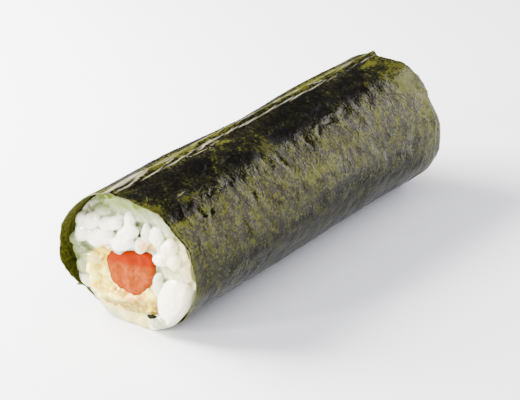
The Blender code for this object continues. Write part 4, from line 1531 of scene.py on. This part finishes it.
@dataclass(frozen=True)
class SalmonBar:
    """The bar of salmon, with uneven sides and a softly domed, flaky end face."""

    form: RollForm
    sides: int = 120
    rings: int = 60
    cap_rings: int = 22
    recess: float = 0.55 * MM
    rim_round: float = 1.3 * MM
    lumps: float = 0.35 * MM
    lump_length: float = 3.2 * MM
    flakes: float = 0.14 * MM
    flake_length: float = 1.5 * MM

    def build(self) -> bpy.types.Object:
        """Loft the side, and close both ends with domed caps of shrinking rings."""
        form = self.form
        section = SALMON.at(np.arange(self.sides) / self.sides)
        centre = section.mean(axis=0)
        near_caps = [(End.NEAR, share) for share in np.linspace(0.0, 1.0, self.cap_rings)[1:-1]]
        far_caps = [(End.FAR, share) for share in np.linspace(1.0, 0.0, self.cap_rings)[1:-1]]
        rings = []
        for end, share in near_caps:
            rings.append(self.cap_ring(end, section, centre, share))
        for along in np.linspace(0.0, 1.0, self.rings):
            rings.append(self.side_ring(section, along))
        for end, share in far_caps:
            rings.append(self.cap_ring(end, section, centre, share))
        points = np.stack(rings)
        count = len(rings)
        flat = points.reshape(-1, 3)
        faces = [tuple(face) for face in np.flip(grid_faces(count, self.sides), axis=1)]
        first = np.arange(count - 1) * self.sides
        faces += [(int(a), int(a + self.sides), int(a + 2 * self.sides - 1), int(a + self.sides - 1))
                  for a in first]
        tips = np.stack((rings[0].mean(axis=0), rings[-1].mean(axis=0)))
        last = len(flat)
        for side in range(self.sides):
            after = (side + 1) % self.sides
            faces.append((last, side, after))
            faces.append((last + 1, (count - 1) * self.sides + after, (count - 1) * self.sides + side))
        flat = np.concatenate((flat, tips))
        relief = self.lumps * noise_at(flat, self.lump_length, 2, 9.0)
        relief += self.flakes * noise_at(flat, self.flake_length, 3, 29.0)
        near = flat[:, 0] < 0.0
        flat[:, 0] += np.where(near, -1.0, 1.0) * relief * (np.abs(flat[:, 0]) > 0.9 * form.half_length)
        made = add_object("salmon_bar", flat, faces)
        fix_normals(made.data)
        height = flat[:, 2]
        # Deeper orange along the top of the section and, less, along the bottom.
        deep = smooth_step(height + 0.12 * flat[:, 1], 14.8 * MM, 16.6 * MM)
        deep = np.maximum(deep, 0.6 * (1 - smooth_step(height, 8.2 * MM, 9.2 * MM)))
        paint_points(made.data, "tints", np.stack((deep,) * 4, axis=1))
        made.data.materials.append(SalmonFlesh().make())
        return made

    def side_ring(self, section: np.ndarray, along: float) -> np.ndarray:
        """Return one ring of the bar's side at a part of its length."""
        form = self.form
        drift_y, drift_z = form.drift((2 * along - 1) * form.half_length)
        y, z = section[:, 0] + drift_y, section[:, 1] + drift_z
        back = self.recess + self.rim_round
        low, high = form.face(y, z, End.NEAR) + back, form.face(y, z, End.FAR) - back
        return np.stack((low + (high - low) * along, y, z), axis=1)

    def cap_ring(self, end: End, section: np.ndarray, centre: np.ndarray, share: float) -> np.ndarray:
        """Return one ring of a cap; share is near zero at its middle and near one at its rim."""
        form = self.form
        drift_y, drift_z = form.drift(end.value * form.half_length)
        spokes = section - centre
        y = centre[0] + spokes[:, 0] * share + drift_y
        z = centre[1] + spokes[:, 1] * share + drift_z
        radius = np.hypot(spokes[:, 0], spokes[:, 1])
        inside = np.minimum(radius * (1.0 - share) / self.rim_round, 1.0)
        back = self.recess + self.rim_round * (1.0 - np.sqrt(1.0 - (1.0 - inside) ** 2))
        x = form.face(y, z, end) - end.value * back
        return np.stack((x, y, z), axis=1)


def fix_normals(mesh: bpy.types.Mesh) -> None:
    """Turn a closed mesh's faces outwards."""
    shape = bmesh.new()
    shape.from_mesh(mesh)
    bmesh.ops.recalc_face_normals(shape, faces=shape.faces)
    shape.to_mesh(mesh)
    shape.free()
    mesh.shade_smooth()


@dataclass(frozen=True)
class MayoBand:
    """The mayonnaise: a band through the rice with a lumpy, glossy face at each end."""

    form: RollForm
    voxel: float = 0.25 * MM
    soften: int = 1
    plug: float = 4.0 * MM
    recess: float = 1.0 * MM
    sides: int = 48
    lumps: int = 60
    lump_size: tuple[float, float] = (0.7, 1.9)
    lump_stretch: tuple[float, float] = (1.0, 1.8)
    lump_out: tuple[float, float] = (-0.9, 0.9)
    smear_out: tuple[float, float] = (-0.4, 0.1)
    yellow_patch: tuple[float, float] = (8.8 * MM, 15.4 * MM)
    yellow_reach: tuple[float, float] = (1.4 * MM, 4.0 * MM)
    calm_below: float = 7.4 * MM
    ripple: float = 0.4 * MM
    ripple_length: float = 1.5 * MM
    crevice_spread: int = 10
    crevice_depth: float = 0.16 * MM
    seed: int = 8

    def slice_bar(self, end: End) -> bpy.types.Object:
        """Make the short length of the band behind one end face.

        Args:
            end: Which end.

        Returns:
            The length of band.
        """
        form = self.form
        section = MAYO.at(np.arange(self.sides) / self.sides)
        drift_y, drift_z = form.drift(end.value * form.half_length)
        y, z = section[:, 0] + drift_y, section[:, 1] + drift_z
        face = form.face(y, z, end) - end.value * self.recess
        rings = [np.stack((face - end.value * back, y, z), axis=1) for back in (0.0, self.plug)]
        faces = [tuple(range(self.sides)), tuple(self.sides + side for side in range(self.sides))[::-1]]
        for side in range(self.sides):
            after = (side + 1) % self.sides
            faces.append((side, self.sides + side, self.sides + after, after))
        made = add_object("slice", np.concatenate(rings), faces)
        fix_normals(made.data)
        return made

    def lump_blobs(self, end: End) -> list[Blob]:
        """Scatter lumps over an end face of the band.

        Args:
            end: Which end.

        Returns:
            The lumps.
        """
        form = self.form
        draw = random.Random(self.seed + end.value)
        drift_y, drift_z = form.drift(end.value * form.half_length)
        corners = np.array(MAYO.corners)
        blobs: list[Blob] = []
        while len(blobs) < self.lumps:
            y = draw.uniform(corners[:, 0].min(), corners[:, 0].max()) * MM
            z = draw.uniform(corners[:, 1].min(), corners[:, 1].max()) * MM
            size = draw.uniform(*self.lump_size) * MM
            stretch = draw.uniform(*self.lump_stretch)
            turned = Euler([draw.uniform(0.0, 3.1) for _ in range(3)]).to_matrix().to_4x4()
            out = draw.uniform(*self.lump_out) * MM
            if MAYO.distance(np.array(y), np.array(z)) > -0.55 * size:
                continue
            if SALMON.distance(np.array(y), np.array(z)) < 0.2 * size:
                continue
            half_sizes = Vector((size, size / stretch, size / stretch))
            if z + 0.3 * y < self.calm_below:
                turned = Matrix.Rotation(draw.uniform(-0.25, 0.25), 4, "X")
                half_sizes = Vector((0.5 * size, 1.7 * size, 0.5 * size))
                out = draw.uniform(*self.smear_out) * MM
            x = form.face(y, z, end) + end.value * (out - self.recess)
            blobs.append(Blob(Vector((x, y + drift_y, z + drift_z)), half_sizes, turned, 1.0))
        return blobs

    def build(self) -> bpy.types.Object:
        """Join the hidden band and both lumpy ends."""
        form = self.form
        bar = filling_bar(form, "bar", MAYO, self.sides, 12, 0.0, self.past_faces())
        points, faces = evaluated_arrays(bar)
        parts, all_faces, hollow_shade = [points], list(faces), [np.zeros(len(points))]
        for end in End:
            slice_points, slice_faces = evaluated_arrays(self.slice_bar(end))
            lump_points, lump_faces = blob_mesh(self.lump_blobs(end), 1.0)
            joined = list(slice_faces) + [tuple(face) for face in lump_faces + len(slice_points)]
            raw = add_object("raw", np.concatenate((slice_points, lump_points)), joined)
            mass, mass_faces = melted(raw, self.voxel, self.soften)
            ripple = noise_at(mass, self.ripple_length, 3, 60.0)
            mass[:, 0] += end.value * self.ripple * ripple
            hollow_shade.append(crevices(mass, mass_faces, self.crevice_spread, self.crevice_depth))
            start = sum(len(part) for part in parts)
            all_faces += [tuple(index + start for index in face) for face in mass_faces]
            parts.append(mass)
        everything = np.concatenate(parts)
        made = add_object("mayo_band", everything, all_faces)
        y, z = everything[:, 1], everything[:, 2]
        tan = 1.0 - smooth_step(z + 0.3 * y, 6.2 * MM, 8.4 * MM)
        patch_y, patch_z = self.yellow_patch
        yellow = 1.0 - smooth_step(np.hypot(y - patch_y, z - patch_z), *self.yellow_reach)
        orange = (1.0 - smooth_step(SALMON.distance(y, z), 0.2 * MM, 1.0 * MM)) * hump(z, 7.5 * MM, 1.5 * MM)
        # Yellow deepened in the hollows between the lumps is painted shade.
        yellow = np.maximum(yellow * 0.8, np.concatenate(hollow_shade) * (1.0 - tan))
        tints = (yellow, tan, orange * 0.6, np.zeros_like(tan))
        paint_points(made.data, "tints", np.stack(tints, axis=1))
        made.data.materials.append(Mayonnaise().make())
        return made

    def past_faces(self) -> float:
        """Return how far short of the end faces the hidden band stops, as a length below zero."""
        return -(self.recess + self.plug / 2)


@dataclass(frozen=True)
class SoftBox:
    """An area light: where it hangs, what it is aimed at, its width and height, its power and colour."""

    name: str
    place: tuple[float, float, float]
    aim: tuple[float, float, float]
    width: float
    height: float
    power: float
    colour: str = "#ffffff"

    def hang(self) -> bpy.types.Object:
        """Add the light to the scene."""
        lamp = bpy.data.lights.new(self.name, "AREA")
        lamp.shape = "RECTANGLE"
        lamp.size = self.width
        lamp.size_y = self.height
        lamp.energy = self.power
        lamp.color = linear(self.colour)[:3]
        made = bpy.data.objects.new(self.name, lamp)
        bpy.context.scene.collection.objects.link(made)
        made.location = self.place
        way = Vector(self.place) - Vector(self.aim)
        made.rotation_euler = way.to_track_quat("Z", "Y").to_euler()
        made.visible_camera = False
        return made


@dataclass(frozen=True)
class Studio:
    """The pale floor, the soft lights and the camera."""

    form: RollForm
    floor_radius: float = 2.5
    azimuth: float = -51.6158
    elevation: float = 27.801
    distance: float = 471.1 * MM
    focal: float = 133.97
    sensor: float = 36.0
    target_height: float = 17.1 * MM
    aim_right: float = 1.186 * MM
    aim_up: float = 4.07 * MM
    surround: str = "#5a5d62"
    surround_strength: float = 1.2

    def build_floor(self) -> bpy.types.Object:
        """Lay a round floor under the roll."""
        shape = bmesh.new()
        bmesh.ops.create_circle(shape, cap_ends=True, segments=96, radius=self.floor_radius)
        mesh = bpy.data.meshes.new("floor")
        shape.to_mesh(mesh)
        shape.free()
        floor = bpy.data.objects.new("floor", mesh)
        bpy.context.scene.collection.objects.link(floor)
        mesh.materials.append(PaleTable().make())
        return floor

    def set_camera(self) -> bpy.types.Object:
        """Set the camera a little off the roll's open near end and above it."""
        turn, rise = math.radians(self.azimuth), math.radians(self.elevation)
        back = Vector((math.sin(turn) * math.cos(rise), -math.cos(turn) * math.cos(rise), math.sin(rise)))
        right = Vector((math.cos(turn), math.sin(turn), 0.0))
        up = back.cross(right)
        target = Vector((0.0, 0.0, self.target_height)) + self.form.shift()
        lens = bpy.data.cameras.new("camera")
        lens.sensor_width = self.sensor
        lens.lens = self.focal
        lens.clip_start = 0.01
        camera = bpy.data.objects.new("camera", lens)
        bpy.context.scene.collection.objects.link(camera)
        camera.location = target - right * self.aim_right - up * self.aim_up + back * self.distance
        camera.rotation_euler = Matrix((right, up, back)).transposed().to_euler()
        bpy.context.scene.camera = camera
        return camera

    def light(self) -> None:
        """Hang the soft lights, and set a dim surround."""
        boxes = (
            SoftBox("key_softbox", (-0.12, 0.27, 0.21), (0.0, 0.0, 0.0), 0.24, 0.2, 12.0, "#fffefa"),
            SoftBox("left_fill", (-0.8, 0.0, 0.3), (0.0, 0.0, 0.0), 0.4, 0.4, 7.0),
            SoftBox("front_fill", (-0.7, -0.4, 0.5), (0.0, 0.0, 0.0), 0.4, 0.4, 4.0),
            SoftBox("overhead", (0.0, 0.0, 0.8), (0.0, 0.0, 0.0), 0.6, 0.6, 2.0),
            SoftBox("small_window", (-0.5, 0.2, 0.22), (-0.05, 0.0, 0.015), 0.07, 0.07, 2.4),
            SoftBox("white_reflector", (0.33, -0.19, 0.165), (0.0, 0.0, 0.02), 0.5, 0.33, 3.2, "#f4f2ff"),
        )
        for box in boxes:
            box.hang()
        world = bpy.data.worlds.new("surround")
        bpy.context.scene.world = world
        world.use_nodes = True
        ground = world.node_tree.nodes["Background"]
        ground.inputs["Color"].default_value = linear(self.surround)
        ground.inputs["Strength"].default_value = self.surround_strength


# The pressed folds and creases of the sheet; the seventh number is the strength of a pale highlight painted
# along a fold.
FOLDS = (
    Fold(70.0, -30.0, 8, 12.0, 0.35, 0.5), Fold(78.0, -21.0, -20, 7.0, 0.4, 0.45),
    Fold(89.0, -19.7, 95, 6.0, 0.35, 0.45, 0.6), Fold(106.0, -22.5, -16, 6.5, 0.3, 0.45, 0.6),
    Fold(114.0, -39.0, -12, 11.0, 0.3, 0.7, 0.58), Fold(100.0, -31.0, -35, 3.5, 0.3, 0.4, 0.6),
    Fold(117.0, -29.0, 55, 4.0, 0.3, 0.5, 0.58), Fold(117.0, 16.0, 4, 7.0, 0.3, 0.5, 0.6),
    Fold(137.0, -37.3, 10, 5.0, -0.4, 0.45),
    Fold(135.0, -38.5, 65, 3.0, -0.35, 0.4), Fold(140.0, -36.0, -50, 3.2, -0.35, 0.4),
    Fold(131.0, -7.4, 80, 4.6, -0.4, 0.45), Fold(127.5, 3.3, 60, 3.6, -0.4, 0.45),
    Fold(124.5, 8.7, -50, 3.0, -0.35, 0.4), Fold(122.5, 13.3, 10, 3.6, -0.35, 0.4),
    Fold(139.5, -26.7, -40, 2.6, -0.3, 0.4), Fold(144.0, -21.3, 75, 2.6, -0.35, 0.4),
    Fold(83.0, -48.5, -4, 9.0, 0.2, 0.3, 0.8), Fold(80.0, -41.0, -11, 8.0, 0.2, 0.3, 0.9),
    Fold(80.0, -31.0, -8, 6.0, 0.2, 0.3, 0.9), Fold(83.0, -26.7, 42, 3.5, 0.25, 0.3, 1.0),
    Fold(86.5, -22.8, 0, 5.5, 0.25, 0.3, 1.0), Fold(85.5, -17.0, -4, 6.5, 0.2, 0.3, 0.8),
    Fold(81.5, -19.5, -12, 10.0, 0.2, 0.3, 0.9), Fold(93.0, -20.8, 110, 3.0, 0.2, 0.3, 0.6),
    Fold(74.5, -41.0, -8, 14.0, 0.2, 0.3, 0.8), Fold(80.0, 24.0, 10, 9.0, 0.2, 0.4, 0.8),
    Fold(83.0, 36.5, 0, 15.0, 0.2, 0.4, 0.7),
)

# The patches of the sheet where few fronds overlap, or many.
THIN_SPOTS = (
    ThinSpot(90.0, 43.5, 5.0, 2.8, 1.1), ThinSpot(112.0, 45.0, 10.0, 6.0, 0.8),
    ThinSpot(127.0, 43.0, 6.0, 3.0, 0.7),
    ThinSpot(89.0, -15.5, 3.0, 3.0, 0.8), ThinSpot(114.0, -9.0, 8.0, 3.5, 0.5),
    ThinSpot(115.0, -48.5, 6.0, 2.5, 0.8), ThinSpot(120.0, -38.0, 3.0, 4.5, 0.8),
    ThinSpot(134.0, -45.5, 3.5, 2.5, 0.8), ThinSpot(150.0, 2.0, 7.0, 8.0, 0.4),
    ThinSpot(99.0, -28.0, 12.0, 3.0, -1.0), ThinSpot(112.0, 0.0, 8.0, 6.5, -1.0),
    ThinSpot(127.0, -43.0, 6.0, 4.5, -0.9), ThinSpot(112.0, 13.0, 8.0, 5.0, -0.8),
    ThinSpot(110.0, 27.0, 7.0, 5.0, -0.9), ThinSpot(112.0, -18.0, 7.0, 5.0, -0.7),
    ThinSpot(95.0, 33.0, 7.0, 5.0, -0.7), ThinSpot(74.0, -30.0, 8.0, 24.0, 1.2),
    ThinSpot(74.0, 22.0, 8.0, 26.0, 1.2), ThinSpot(97.0, -38.0, 12.0, 11.0, -0.5),
    ThinSpot(94.0, 12.0, 13.0, 15.0, -0.6),
)


def place_piece(piece: bpy.types.Object, node: str, shift: Vector, takes_over: bool = True) -> None:
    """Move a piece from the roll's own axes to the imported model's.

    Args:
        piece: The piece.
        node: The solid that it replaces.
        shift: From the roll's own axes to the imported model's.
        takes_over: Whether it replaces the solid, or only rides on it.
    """
    piece.data.transform(Matrix.Translation(shift))
    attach(piece, "root")
    if takes_over:
        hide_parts(node)
    LOG.info("%s: %d faces before its modifiers", piece.name, len(piece.data.polygons))


def main() -> None:
    """Build the roll and its studio."""
    logging.basicConfig(level=logging.INFO, format="%(name)s: %(message)s")
    form = RollForm(folds=FOLDS)
    shift = form.shift()
    studio = Studio(form)
    studio.set_camera()
    rice = RiceMass(form).build()
    place_piece(rice, "rice", shift)
    for maker, node in ((NoriSheet(form, thin_spots=THIN_SPOTS), "nori"),
                        (SalmonBar(form), "salmon"), (MayoBand(form), "mayo")):
        place_piece(maker.build(), node, shift)
    bpy.context.view_layer.update()
    place_piece(DarkFlake().build(rice, shift), "nori", shift, takes_over=False)
    studio.build_floor()
    studio.light()


if __name__ == "__main__":
    main()
